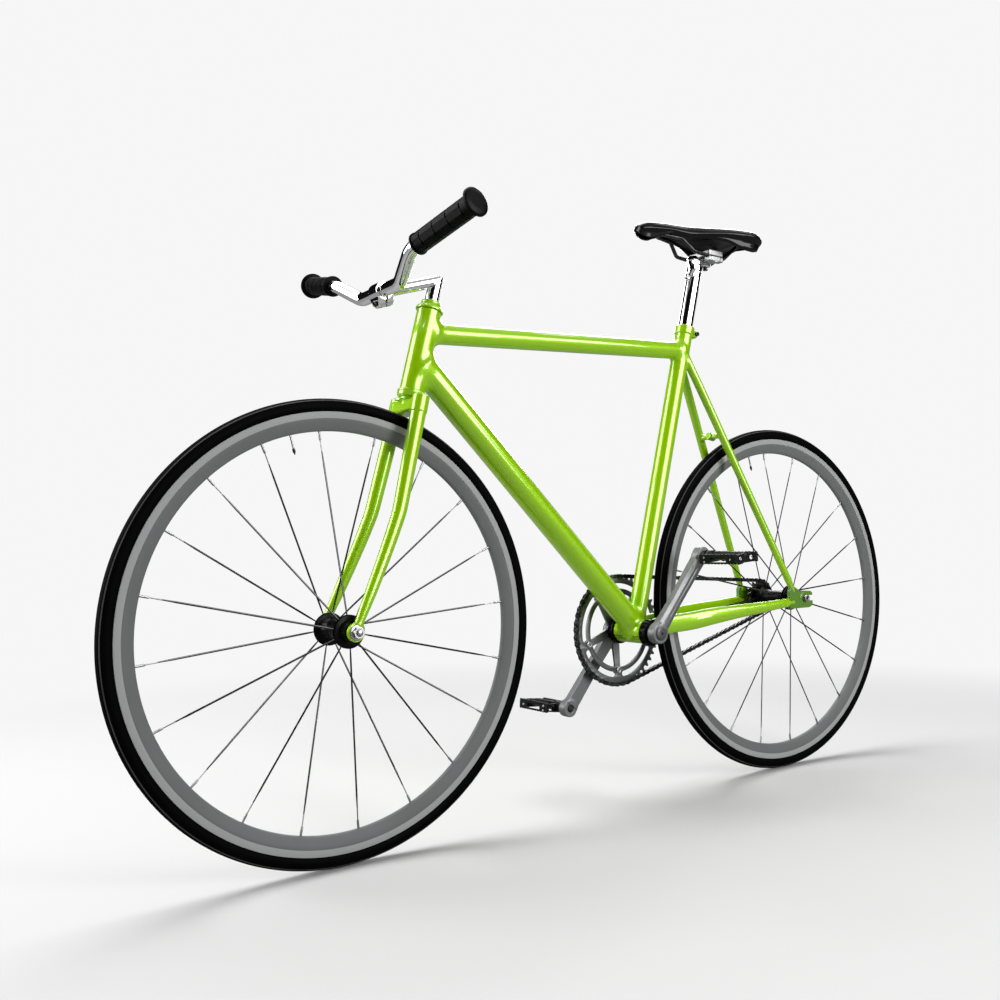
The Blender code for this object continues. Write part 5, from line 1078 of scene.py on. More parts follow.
def gripProfile(length):
    # collar, a plain barrel with four cross slits, and a domed mushroom end, all in mm up the grip
    s = barSizes
    line = [(10.6, 0.2), (10.6, 0), (16.0, 0), (16.4, 0.4), (16.4, 2.6), (16.0, 3.0), (s["groove"], 3.2)]
    line += [(s["groove"], 4.0), (s["gripRadius"] - 0.4, 4.4), (s["gripRadius"], 5.0)]
    for i in range(4):
        middle = 5 + (length - 10) * (i + 0.55) / 4
        line += [(s["gripRadius"], middle - 1.5), (s["groove"], middle - 1.1), (s["groove"], middle + 0.5),
                 (s["gripRadius"], middle + 0.9)]
    t = np.linspace(0, 1, 12)
    dome = [(s["flangeRadius"] * math.cos(a * math.pi / 2) ** 0.6, length + 4.2 * math.sin(a * math.pi / 2))
            for a in t[:-1]]
    line += [(s["gripRadius"], length - 4.8), (s["flangeRadius"] - 1.2, length - 3.6),
             (s["flangeRadius"], length - 2.4)] + dome + [(0.1, length + 4.2)]
    return np.array(line) * mm


def gripRadiusAt(r, h, t):
    # four flats, a / cos(angle from the flat's middle), with a groove between them where the slits stop
    s = barSizes
    turn = (t + s["turn"] + math.pi / 4) % (math.pi / 2) - math.pi / 4
    flat = s["flat"] * mm / np.cos(turn)
    corner = np.exp(-((np.abs(turn) - math.radians(33)) / 0.06) ** 2)
    barrel = (h > 0.0045) & (h < 0.1165) & (r < 0.0158)
    slit = barrel & (r < 0.0150)
    r = np.where(slit & (np.abs(turn) > math.radians(36)), s["gripRadius"] * mm, r)
    r = np.where(barrel, np.minimum(r, flat), r)
    return np.where(barrel, r - 0.0007 * corner, r)


for sideSign, label in ((1, "left"), (-1, "right")):
    flip = np.array((1, sideSign, 1))
    gripBase = (bend + gripWay * barSizes["gripStart"] * mm) * flip
    gripLength = np.linalg.norm(gripEnd * flip - gripBase) / mm
    addPiece(f"{label}Grip", revolve(gripProfile(gripLength), gripBase, gripWay * flip, 96, gripRadiusAt),
             look["gripRubber"][0], "handlebar", (f"grip_{label}",), 32)
print("handlebar made")


# wheels

wheelSizes = {
    "radius": 0.334, "tyreMiddle": 0.3224, "tyreHalf": 0.0113, "around": 720,
    "spokes": 20, "firstSpoke": 12.7, "flangeY": 0.0315, "valveTurn": 75.7,
    "beadTurn": 0.62, "treadProud": 0.00025, "sipeDepth": 0.00045, "sipeEvery": 8,
    "edgeTurn": (0.70, 0.86), "edgeLift": 0.00006, "edgeThick": 0.0003,
}


def tyrePart(centre):
    # section r = m + a sin q, y = b cos q, then down the bead; the tread band stands 0.25 mm proud and
    # its edges carry slanted sipes
    s = wheelSizes
    q = np.linspace(-s["beadTurn"], math.pi + s["beadTurn"], 45)
    rise = s["radius"] - s["tyreMiddle"]
    r = s["tyreMiddle"] + rise * np.sin(q)
    y = s["tyreHalf"] * np.sign(np.cos(q)) * np.abs(np.cos(q)) ** 0.92
    band = 1 / (1 + np.exp(-(np.sin(q) - 0.66) * 60))
    r = r - (1 - band) * s["treadProud"] * np.sin(q)
    y = y * (1 - (1 - band) * 0.015)
    r = np.concatenate([[0.3130, 0.3146], r, [0.3146, 0.3130]])
    y = np.concatenate([[0.0070, 0.0077], y, [-0.0077, -0.0070]])
    edge = np.concatenate([[0, 0], np.exp(-((np.abs(np.sin(q)) - 0.74) / 0.07) ** 2), [0, 0]])
    t = np.linspace(0, 2 * math.pi, s["around"], endpoint=False)
    sipe = (np.arange(s["around"]) % s["sipeEvery"] == 0).astype(float)
    otherSide = np.roll(sipe, s["sipeEvery"] // 2)
    depth = s["sipeDepth"] * edge[:, None] * np.where(y[:, None] > 0, sipe[None, :], otherSide[None, :])
    radius = r[:, None] - depth
    rows = (np.asarray(centre) + y[:, None, None] * side
            + radius[..., None] * np.stack([np.cos(t), 0 * t, np.sin(t)], -1)[None])
    return skin(rows, closed=True)


def treadPart(centre):
    # the thin grey band at each edge of the tread, a hair above the tyre
    s = wheelSizes
    parts = []
    for sign in (1, -1):
        q = np.linspace(*s["edgeTurn"], 6)
        r = s["tyreMiddle"] + (s["radius"] - s["tyreMiddle"]) * np.sin(q) + s["edgeLift"]
        y = sign * s["tyreHalf"] * np.cos(q) ** 0.92 + sign * s["edgeLift"]
        r = np.concatenate([r, r[::-1] - s["edgeThick"]])
        y = np.concatenate([y, y[::-1] - sign * s["edgeThick"]])
        t = np.linspace(0, 2 * math.pi, 360, endpoint=False)
        rows = (np.asarray(centre) + y[:, None, None] * side
                + r[:, None, None] * np.stack([np.cos(t), 0 * t, np.sin(t)], -1)[None])
        parts.append(skin(rows, closed=True))
    return join(parts)


rimLine = np.array([
    (305.6, 7.6), (308.0, 8.0), (313.2, 8.0), (313.8, 7.7), (314.4, 8.0), (314.6, 8.6), (314.5, 9.2),
    (314.0, 9.55), (313.2, 9.6), (309.0, 9.6), (305.2, 9.6), (304.7, 9.45), (304.2, 9.1), (303.6, 9.15),
    (302.6, 9.1), (299.0, 8.1), (294.5, 6.7), (290.5, 5.2), (288.0, 3.9), (287.0, 2.6), (286.75, 1.2)])
rimProfile = np.vstack([rimLine, rimLine[::-1] * (1, -1)]) * mm


def spokeAngles():
    s = wheelSizes
    return np.radians(s["firstSpoke"] + 360 / s["spokes"] * np.arange(s["spokes"]))


def spokeParts(centre, stations, around):
    # each spoke runs straight from its flange to the rim: half width in the wheel's plane, half
    # thickness across it
    s = wheelSizes
    parts = []
    t = np.linspace(0, 2 * math.pi, around, endpoint=False)
    for index, angle in enumerate(spokeAngles()):
        radial = np.array((math.cos(angle), 0, math.sin(angle)))
        across = np.cross(radial, side)
        flange = s["flangeY"] * (1 if index % 2 == 0 else -1)
        rows = []
        for radius, wide, thick in stations:
            y = flange * np.interp(radius, (0.0192, 0.278), (1, 0))
            middle = centre + radial * radius + side * y
            power = 0.7 if wide > thick * 1.3 else 1
            c = np.sign(np.cos(t)) * np.abs(np.cos(t)) ** power
            n = np.sin(t)
            rows.append(middle + across * wide * c[:, None] + side * thick * n[:, None])
        parts.append(skin(np.array(rows)))
    return join(parts)


bladeStations = [(r * mm, w * mm, t * mm) for r, w, t in (
    (18.6, 1.0, 1.0), (27, 1.0, 1.0), (34, 1.3, 0.75), (46, 1.45, 0.55), (238, 1.45, 0.55),
    (248, 1.1, 0.8), (258, 0.9, 0.9))]
threadStations = [(r * mm, w * mm, w * mm) for r, w in (
    (257, 0.9), (273.6, 0.9), (274, 1.45), (275, 1.75), (278, 1.8), (286, 1.8), (290, 2.0))]


def valvePart(centre, stations):
    angle = math.radians(wheelSizes["valveTurn"])
    return revolve(np.array(stations) * mm, centre, (math.cos(angle), 0, math.sin(angle)), 24)


valveStem = [(0.1, 309)] + [(1.5 - 0.12 * (i % 2), 308 - i * 0.5) for i in range(82)] + [(0.1, 266.6)]
valveTip = [(0.1, 268), (1.9, 268), (2.1, 267.4), (2.1, 262.4), (1.8, 261.8), (1.1, 261.4), (1.1, 259.4),
            (0.7, 259), (0.1, 259)]


def hubLine(rightEnd):
    # the hub's outer line from its left end to its right end, in mm: end cap, flange with its lip,
    # waist
    flange = [(16.1, 40), (16.1, 35.6), (17, 35.0), (22.4, 34.7), (23.4, 34.4), (24, 33.8), (24, 33.5),
              (23.6, 33.4), (18.9, 33.2), (18.7, 31.5), (18.9, 29.8), (23.6, 29.6), (24, 29.5), (24, 29.2),
              (23.4, 28.6), (20.4, 28.0), (16.6, 26.0), (14.6, 22.0), (13.6, 14.0), (13.2, 6.0)]
    back = [(r, -y) for r, y in flange[::-1]]
    if rightEnd:
        back = back[:-2] + [(16.5, -35.6), (16.5, -51.6), (16.1, -52)]
    return flange + back


def wheel(label, centre, body, rightEnd):
    prefix = f"{label}_"
    addPiece(f"{label}Tyre", tyrePart(centre), look["tyreRubber"][0], body,
             (prefix + "tyre",), 50)
    addPiece(f"{label}TreadEdge", treadPart(centre), look["treadRubber"][0], body,
             (prefix + "tyre",))
    rim = revolve(rimProfile, centre, side, 360, closed=True)
    addPiece(f"{label}Rim", rim, look[f"rimGrey{label}"][0], body, (prefix + "rim",), 28)
    addPiece(f"{label}Blades", spokeParts(centre, bladeStations, 12), look["spokeBlack"][0], body,
             (prefix + "spokes",))
    addPiece(f"{label}Nipples", spokeParts(centre, threadStations, 10), look["spokeBright"][0], body,
             (prefix + "spokes",))
    strip = revolve(np.array([(307.2, 4.8), (308.3, 4.8), (308.3, -4.8), (307.2, -4.8)]) * mm, centre, side,
                    180, closed=True)
    addPiece(f"{label}RimStrip", strip, look["gripRubber"][0], body, (prefix + "spokes",))
    addPiece(f"{label}ValveStem", valvePart(centre, valveStem), look["spokeBright"][0], body,
             (prefix + "valve",))
    addPiece(f"{label}ValveTip", valvePart(centre, valveTip), look["boltBlack"][0], body,
             (prefix + "valve",))
    outer = hubLine(rightEnd)
    bore = [(13.5, outer[-1][1]), (13.5, outer[0][1])]
    addPiece(f"{label}Hub", revolve(np.array(outer + bore) * mm, centre, side, 96, closed=True),
             look["hubBlack"][0], body, (prefix + "hub",), 30)
    shaft = 4.8 if label == "front" else 5.8
    seals = []
    for sign in (1, -1):
        line = [(shaft, 30.2), (13.1, 30.2), (13.1, 37.4), (12.9, 37.9), (11.8, 38.0), (11.6, 37.6),
                (9.0, 37.6), (8.8, 38.0), (7.6, 38.0), (7.4, 38.2), (shaft, 38.2)]
        seals.append(revolve(np.array(line) * (1, sign) * mm, centre, side, 64, closed=True))
    seals.append(revolve(np.array([(shaft, 30), (8.5, 30), (8.5, -30), (shaft, -30)]) * mm, centre, side,
                         48, closed=True))
    addPiece(f"{label}BearingSeals", join(seals), look["boltBlack"][0], body, (prefix + "hub_bearings",))


# each rim's turned lines and brake band run about its own axle, so each has its own finish
rimRings = {"pitch": 16000.0, "strength": 0.004, "depth": 0.0001, "bandFrom": (0.3044, 0.3050),
            "bandColour": (0.400, 0.405, 0.406)}
for label, centre in (("front", frontAxle), ("rear", rearAxle)):
    look[f"rimGrey{label}"] = finish(f"rimGrey{label.title()}", finishes["rimGrey"])
    ringed(look[f"rimGrey{label}"], centre, rimRings)
wheel("front", frontAxle, "front_wheel", False)
wheel("rear", rearAxle, "rear_wheel", True)


def hexNut(flangeRadius, flangeHeight, acrossFlats, top, bore):
    # a flanged nut: the flange's rim is knurled, the hexagon is r = a / cos(angle from a flat) and
    # chamfered at the top
    apothem = acrossFlats / 2
    corner = apothem / math.cos(math.pi / 6)
    line = [(bore, 0), (flangeRadius - 0.0003, 0), (flangeRadius, 0.0003),
            (flangeRadius, flangeHeight - 0.0004), (flangeRadius - 0.0006, flangeHeight),
            (corner + 0.0001, flangeHeight + 0.0001),
            (corner, flangeHeight + 0.0004), (corner, top - 0.0016), (apothem + 0.0002, top),
            (bore + 0.0006, top), (bore, top - 0.0005)]

    def radiusAt(r, h, t):
        flat = apothem / np.cos((t % (math.pi / 3)) - math.pi / 6)
        hexed = np.zeros(r.shape, bool)
        hexed[6:9] = True
        knurl = np.zeros(r.shape, bool)
        knurl[2:4] = True
        r = np.where(hexed, np.minimum(flat, r), r)
        return np.where(knurl, r - 0.0002 * (np.cos(t * 40) > 0), r)
    return line, radiusAt


nutLine, nutRadiusAt = hexNut(0.0111, 0.0018, 0.0149, 0.0087, 0.0047)
for sign, label in ((1, "left"), (-1, "right")):
    addPiece(f"{label}FrontNut", revolve(nutLine, frontAxle + side * sign * 0.0563, side * sign, 240,
                                         nutRadiusAt, closed=True),
             look["brightSteel"][0], "fork", (f"front_axle_nut_{label}",), 30)
axleThread = [(4.45 - 0.25 * (i % 2), 67 - i * 0.45) for i in range(38)]
axleLine = [(0.1, 68), (3.6, 68), (4.4, 67.4)] + axleThread + [(6.5, 49.7), (6.5, 41), (4.5, 41)]
axleLine = np.array(axleLine + [(r, -h) for r, h in axleLine[::-1]]) * mm
addPiece("frontAxleRod", revolve(axleLine, frontAxle, side, 32), look["brightSteel"][0], "fork",
         ("front_axle",))
rearLine = np.array([(3.95, 46), (3.95, 59.7), (8.7, 59.7), (9, 59.3), (9, 41), (5.5, 41), (5.5, -53),
                     (9, -53), (9, -59.3), (8.7, -59.7), (3.95, -59.7), (3.95, -46)]) * mm
addPiece("rearAxleRod", revolve(rearLine, rearAxle, side, 48, closed=True), look["boltBlack"][0], "frame",
         ("rear_axle",))
for sign, label in ((1, "left"), (-1, "right")):
    addPiece(f"{label}RearBolt", capScrew(0.0067, 0.0066, 0.0038, 0.021, rearAxle + side * sign * 0.0673,
                                          side * sign, 0.006), look["brightSteel"][0], "frame",
             (f"rear_axle_bolt_{label}",))
print("wheels made")


# bottom bracket, cranks and chainring

driveSizes = {
    "crankTurn": 126.8, "ringTeeth": 48, "cogTeeth": 16, "links": 94,
    "chainY": -44, "pitch": 12.7, "rollerRadius": 3.95, "bossRadius": 17.4, "eyeRadius": 14.9,  # mm
    "capFlat": 2.4, "window": (74.6, 84.4),  # mm
    "crankLength": 0.165, "boltCircle": 0.072, "boltBore": 0.0042, "toothHalf": 0.0011,
    "toothBevel": 0.0003, "ringBore": 0.066, "cogBore": 0.0168, "cell": 0.0011,
}
crankAngle = math.radians(driveSizes["crankTurn"])
crankWay = np.array((math.cos(crankAngle), 0, math.sin(crankAngle)))
pedalEye = {sign: bracket + crankWay * (sign * driveSizes["crankLength"]) for sign in (1, -1)}


def notched(count, depth, share, fromRadius, fromHeight):
    # takes depth off the radius where the cosine of count turns is over share
    def radiusAt(r, h, t):
        bite = (np.cos(count * t) > share) & (r > fromRadius) & (h > fromHeight)
        return np.where(bite, r - depth, r)
    return radiusAt


cupLine = np.array([(15.6, 46.4), (16.2, 47), (21.4, 47), (22.3, 46.7), (22.8, 46.0), (23.3, 38.0),
                    (23.4, 37.8), (23.4, 35.0), (23.1, 34.4), (22.6, 34.3), (17.1, 34.3), (17.1, 20),
                    (15.6, 20)]) * mm
for sign, label in ((1, "left"), (-1, "right")):
    cup = revolve(cupLine, bracket, side * sign, 256, notched(16, 0.0022, 0.25, 0.0222, 0.0379), closed=True)
    addPiece(f"{label}BottomCup", cup, look["hubBlack"][0], "frame", (f"bottom_bracket_cup_{label}",),
             30)


def stationField(p, origin, along, across, out, stations, bevel, rim):
    # a tapering bar: half width, inner and outer face are straight lines between stations, then chamfered
    q = p - origin
    u, w, v = q @ along, np.abs(q @ across), q @ out
    place = [s[0] * mm for s in stations]
    inner = np.interp(u, place, [s[1] * mm for s in stations])
    outer = np.interp(u, place, [s[2] * mm for s in stations])
    half = np.interp(u, place, [s[3] * mm for s in stations])
    d = trim(trim(w - half, v - outer, rim), inner - v, rim)
    slope = bevel * mm / (half * 0.55)
    cut = (v - outer + (w - half * 0.45) * slope) / np.sqrt(1 + slope ** 2)
    d = trim(d, cut, rim)
    return trim(trim(d, place[0] - u, rim), u - place[-1], rim)


armStations = ((6, 49.8, 65.5, 13), (60, 55, 69, 11.4), (158, 62, 77.5, 12.5))
spiderStations = ((8, 50.5, 57.5, 9), (60, 45.9, 51.5, 6.4), (76, 45.9, 51.5, 6.8))
boltWays = []
for index in range(5):
    angle = crankAngle + math.pi + math.radians(36 + 72 * index)
    boltWays.append(np.array((math.cos(angle), 0, math.sin(angle))))


def crankField(sign):
    along = crankWay * sign
    across = np.cross(along, side)
    out = side * sign

    def field(p):
        s = driveSizes
        d = stationField(p, bracket, along, across, out, armStations, 3.2, 0.0012)
        boss = rodField(p, bracket + out * 0.0495, bracket + out * 0.066, s["bossRadius"] * mm, 0.0016)
        eye = rodField(p, pedalEye[sign] + out * 0.062, pedalEye[sign] + out * 0.0783,
                       s["eyeRadius"] * mm, 0.0016)
        d = meld(meld(d, boss, 0.004), eye, 0.004)
        flute = rodField(p, bracket + along * 0.034 + out * 0.0705, bracket + along * 0.138 + out * 0.0785,
                         0.0034, 0.0015)
        d = carve(d, flute, 0.0010)
        if sign == -1:
            for way in boltWays:
                arm = stationField(p, bracket, way, np.cross(way, side), out, spiderStations, 1.4, 0.0009)
                tip = rodField(p, bracket + way * 0.0725 + out * 0.0459,
                               bracket + way * 0.0725 + out * 0.0515, 0.0072, 0.0008)
                d = meld(d, meld(arm, tip, 0.0015), 0.0030)
            for way in boltWays:
                place = bracket + way * s["boltCircle"]
                d = carve(d, rodField(p, place + out * 0.03, place + out * 0.07, s["boltBore"]), 0.0003)
        d = carve(d, rodField(p, bracket + out * 0.03, bracket + out * 0.09, 0.0088), 0.0006)
        eyeBore = rodField(p, pedalEye[sign] + out * 0.05, pedalEye[sign] + out * 0.09, 0.0068)
        return carve(d, eyeBore, 0.0006)
    return field


leftCrank = sculpt(crankField(1), vec(-214, 47, 268), vec(-70, 81, 446), driveSizes["cell"], 2)
addPiece("leftCrank", leftCrank, look["forgedGrey"][0], "crankset", ("crank_arm_left",))
rightCrank = sculpt(crankField(-1), vec(-180, -81, 138), vec(26, -43, 380), driveSizes["cell"], 2)
addPiece("rightCrank", rightCrank, look["forgedGrey"][0], "crankset", ("crank_arm_right",))
for sign, label in ((1, "left"), (-1, "right")):
    cap = [(0.1, 66.8), (2.4, 66.8), (2.5, 68.6), (2.8, 68.9), (9.6, 69.0), (10.4, 68.7), (10.7, 68.2),
           (10.9, 67.7), (11.5, 67.6), (11.6, 67.3), (11.6, 66.3), (3.4, 66.3), (3.4, 47)]

    def hexed(r, h, t):
        flat = driveSizes["capFlat"] * mm / np.cos((t + math.pi / 6) % (math.pi / 3) - math.pi / 6)
        inner = np.zeros(r.shape, bool)
        inner[1:3] = True
        return np.where(inner, flat, r)
    addPiece(f"{label}CrankCap", revolve(np.array(cap) * mm, bracket, side * sign, 72, hexed),
             look["capGrey"][0], "crankset", (f"crank_bolt_{label}",), 34)
print("cranks made")


def flatPlate(outlines, half, bevel, origin, xAxis, yAxis):
    # a flat curve object over the outlines, filled, made thick and bevelled, then turned into place
    curve = bpy.data.curves.new("plate", "CURVE")
    curve.dimensions = "2D"
    curve.fill_mode = "BOTH"
    curve.extrude = half - bevel
    curve.bevel_depth = bevel
    curve.bevel_resolution = 1
    for outline in outlines:
        line = curve.splines.new("POLY")
        line.points.add(len(outline) - 1)
        flat = np.column_stack([outline, np.zeros(len(outline)), np.ones(len(outline))])
        line.points.foreach_set("co", flat.astype(np.float32).ravel())
        line.use_cyclic_u = True
    shape = bpy.data.objects.new("plate", curve)
    bpy.context.scene.collection.objects.link(shape)
    bpy.context.view_layer.update()
    mesh = bpy.data.meshes.new_from_object(shape.evaluated_get(bpy.context.evaluated_depsgraph_get()))
    points = np.empty(len(mesh.vertices) * 3)
    mesh.vertices.foreach_get("co", points)
    mesh.calc_loop_triangles()
    faces = np.empty(len(mesh.loop_triangles) * 3, np.int32)
    mesh.loop_triangles.foreach_get("vertices", faces)
    points, faces = points.reshape(-1, 3), faces.reshape(-1, 3)
    bpy.data.objects.remove(shape)
    bpy.data.curves.remove(curve)
    bpy.data.meshes.remove(mesh)
    kept, back = np.unique(np.round(points, 7), axis=0, return_inverse=True)
    faces = back.reshape(-1)[faces]
    faces = faces[(faces[:, 0] != faces[:, 1]) & (faces[:, 1] != faces[:, 2]) & (faces[:, 2] != faces[:, 0])]
    xAxis, yAxis = unit(xAxis), unit(yAxis)
    placed = np.asarray(origin) + kept @ np.stack([xAxis, yAxis, np.cross(xAxis, yAxis)])
    return outward((placed, np.column_stack([faces, np.full(len(faces), -1)])))


def roundOutline(radius, count, centre=(0, 0)):
    t = np.linspace(0, 2 * math.pi, count, endpoint=False)
    return np.column_stack([centre[0] + radius * np.cos(t), centre[1] + radius * np.sin(t)])


def pitchRadius(teeth):
    return driveSizes["pitch"] * mm / 2 / math.sin(math.pi / teeth)


def toothOutline(teeth, phase):
    # under each pin a round seat, then a straight flank and a blunt tip halfway to the next pin
    radius = pitchRadius(teeth)
    step = 2 * math.pi / teeth
    seat = np.radians(np.linspace(-54, 54, 7))
    r0 = driveSizes["rollerRadius"] * mm
    points = []
    for i in range(teeth):
        middle = phase + step * i
        for a in seat:
            points.append((radius - r0 * math.cos(a), r0 * math.sin(a), middle))
        for rise, reach in ((0.9, 4.3), (2.6, 5.3), (2.95, 5.9), (2.95, 6.8), (2.6, 7.4), (0.9, 8.4)):
            points.append((radius + rise * mm, reach * mm, middle))
    outline = []
    for r, across, middle in points:
        angle = middle + across / radius
        outline.append((r * math.cos(angle), r * math.sin(angle)))
    return np.array(outline)


def chainLine():
    # pins on the ring, the upper run, the cog and the lower run, as in the CAD model
    s = driveSizes
    pitch = s["pitch"] * mm
    ringR, cogR = pitchRadius(s["ringTeeth"]), pitchRadius(s["cogTeeth"])
    apart = rearAxle - bracket
    distance = np.linalg.norm(apart)
    back = apart / distance
    lean = (ringR - cogR) / distance
    across = math.sqrt(1 - lean * lean)
    upward = np.array((back[2], 0, -back[0]))
    upper, lower = back * lean + upward * across, back * lean - upward * across

    def turn(v):
        return math.atan2(v[2], v[0])

    def onCircle(centre, radius, angle):
        return centre + np.array((math.cos(angle), 0, math.sin(angle))) * radius

    ringStart = turn(upper)
    ringStep = 2 * math.pi / s["ringTeeth"]
    pins = [onCircle(bracket, ringR, ringStart)]
    run = rearAxle + upper * cogR - pins[0]
    for i in range(int(np.linalg.norm(run) / pitch)):
        pins.append(pins[0] + unit(run) * pitch * (i + 1))
    cogAngle = turn(upper)
    for _ in range(60):
        gap = np.linalg.norm(onCircle(rearAxle, cogR, cogAngle) - pins[-1])
        cogAngle += (pitch - gap) / cogR
    cogPhase = cogAngle
    cogEnd = turn(lower) + 2 * math.pi
    while cogAngle < cogEnd:
        pins.append(onCircle(rearAxle, cogR, cogAngle))
        cogAngle += 2 * math.pi / s["cogTeeth"]
    wrapped = 2 * math.pi - ((cogEnd - ringStart) % (2 * math.pi))
    front = [onCircle(bracket, ringR, ringStart - ringStep * (i + 1))
             for i in range(int(wrapped / ringStep))]
    leftOver = s["links"] - len(pins) - len(front)
    first, last = pins[-1], front[-1]
    pins += [first + (last - first) * (i + 1) / (leftOver + 1) for i in range(leftOver)]
    return np.array(pins + front[::-1]), ringStart, cogPhase


chainPins, ringPhase, cogPhase = chainLine()


def ringWindow(index):
    # a curved slot with round ends, between two spider arms
    middle = math.atan2(boltWays[index][2], boltWays[index][0]) + math.radians(36)
    half = math.radians(27.0)
    inner, outer = (r * mm for r in driveSizes["window"])
    centre, end = (inner + outer) / 2, (outer - inner) / 2
    a = np.linspace(middle - half, middle + half, 17)
    line = [np.column_stack([outer * np.cos(a), outer * np.sin(a)])]
    for turn, way in ((middle + half, 1), (middle - half, -1)):
        t = np.linspace(0, math.pi, 9)[1:-1]
        if way < 0:
            t = t + math.pi
        hub = np.array((math.cos(turn), math.sin(turn))) * centre
        radial = np.array((math.cos(turn), math.sin(turn)))
        along = np.array((-math.sin(turn), math.cos(turn)))
        line.append(hub + end * (np.cos(t)[:, None] * radial + np.sin(t)[:, None] * along))
        if way > 0:
            line.append(np.column_stack([inner * np.cos(a[::-1]), inner * np.sin(a[::-1])]))
    return np.vstack(line)


ringOrigin = bracket + side * driveSizes["chainY"] * mm
plateHalf, plateBevel, boltCircle = (driveSizes[key] for key in ("toothHalf", "toothBevel", "boltCircle"))
outlines = [toothOutline(driveSizes["ringTeeth"], ringPhase)] + [ringWindow(i) for i in range(5)]
outlines += [roundOutline(driveSizes["ringBore"], 120)]
outlines += [roundOutline(driveSizes["boltBore"], 20, (w[0] * boltCircle, w[2] * boltCircle))
             for w in boltWays]
addPiece("chainringPlate", flatPlate(outlines, plateHalf, plateBevel, ringOrigin, (1, 0, 0), (0, 0, 1)),
         look["ringGrey"][0], "crankset", ("chainring",), 30)
cogOrigin = rearAxle + side * driveSizes["chainY"] * mm
cogOutlines = [toothOutline(driveSizes["cogTeeth"], cogPhase), roundOutline(driveSizes["cogBore"], 48)]
cogPlate = flatPlate(cogOutlines, plateHalf, plateBevel, cogOrigin, (1, 0, 0), (0, 0, 1))
addPiece("cogPlate", cogPlate, look["boltBlack"][0], "rear_wheel", ("rear_cog",), 30)
lockLine = np.array([(16.8, -49.9), (17.2, -50.2), (20.4, -50.2), (21, -49.6), (21, -46.0), (20.6, -45.6),
                     (16.8, -45.6)]) * mm
lockring = revolve(lockLine, rearAxle, side, 96, notched(6, 0.0022, 0.9, 0.019, -1), closed=True)
addPiece("lockringBody", lockring, look["boltBlack"][0], "rear_wheel", ("rear_lockring",), 30)
for index, way in enumerate(boltWays):
    place = bracket + way * boltCircle
    head = capScrew(0.0058, 0.0018, 0.0039, 0.0098, place - side * 0.0518, -side, 0.005)
    nut = capScrew(0.0057, 0.0016, 0.0038, 0.0004, place - side * 0.0426, side, 0.005)
    addPiece(f"ringBolt{index + 1}", join([head, nut]), look["brightSteel"][0], "crankset",
             (f"chainring_bolt_{index + 1}",), 30)
print("chainring made")


def linkPlate(start, end, near, far, radius=0.0040, waist=0.0029):
    # outline of two round ends and a drawn-in waist, between two y levels
    along = unit(end - start)
    rise = np.cross(along, side)
    a = np.radians(np.linspace(62, 298, 7))
    first = [(radius * math.cos(t), radius * math.sin(t)) for t in a]
    length = np.linalg.norm(end - start)
    outline = first + [(length / 2, -waist)] + [(length - x, -y) for x, y in first] + [(length / 2, waist)]
    outline = np.array(outline)
    flat = start + outline[:, :1] * along + outline[:, 1:] * rise
    return skin(np.array([flat + side * near, flat + side * far]))


chainSizes = {"innerPlate": (0.0019, 0.0027), "outerPlate": (0.0029, 0.0037),
              "roller": (3.75, 1.85), "pin": (1.7, 4.0)}  # roller and pin: radius and half width in mm
count = len(chainPins)
links = []
rollers = []
chainMiddle = driveSizes["chainY"] * mm
for i in range(count):
    here, there = chainPins[i], chainPins[(i + 1) % count]
    near, far = chainSizes["innerPlate" if i % 2 else "outerPlate"]
    for sign in (1, -1):
        links.append(linkPlate(here, there, chainMiddle + sign * near, chainMiddle + sign * far))
    for key, around in (("roller", 12), ("pin", 8)):
        radius, half = chainSizes[key]
        barrel = np.array([(radius, -half), (radius, half)]) * mm
        rollers.append(revolve(barrel, here + side * chainMiddle, side, around))
addPiece("chainPlates", join(links), look["chainDark"][0], "frame", ("chain",), 40)
addPiece("chainRollers", join(rollers), look["chainDark"][0], "frame", ("chain",), 40)
print("chain made:", count, "links")


# pedals: two notched cage plates joined by end plates round a barrel

pedalSizes = {
    "inner": 93, "outer": 174, "halfLength": 28.5, "halfHeight": 9.0, "wall": 3.3, "tooth": 0.45,
    "cell": 0.0008, "toothPitch": 0.0075,
    "barrelAt": np.array((94, 120, 169)) * mm, "barrelRadius": np.array((8.2, 7.9, 5.9)) * mm,
    "boreAt": np.array((60, 120, 166)) * mm, "boreRadius": np.array((6.8, 6.8, 4.7)) * mm,
    "drop": {1: 4.4, -1: 2}, "tilt": {1: -4, -1: 5},
}


def pedalAxes(sign):
    s = pedalSizes
    tilt = math.radians(s["tilt"][sign])
    middle = pedalEye[sign] + np.array((0, sign * (s["inner"] + s["outer"]) / 2 * mm,
                                        -s["drop"][sign] * mm))
    ahead = np.array((math.cos(tilt), 0, math.sin(tilt)))
    rise = np.array((-math.sin(tilt), 0, math.cos(tilt)))
    return middle, ahead, rise


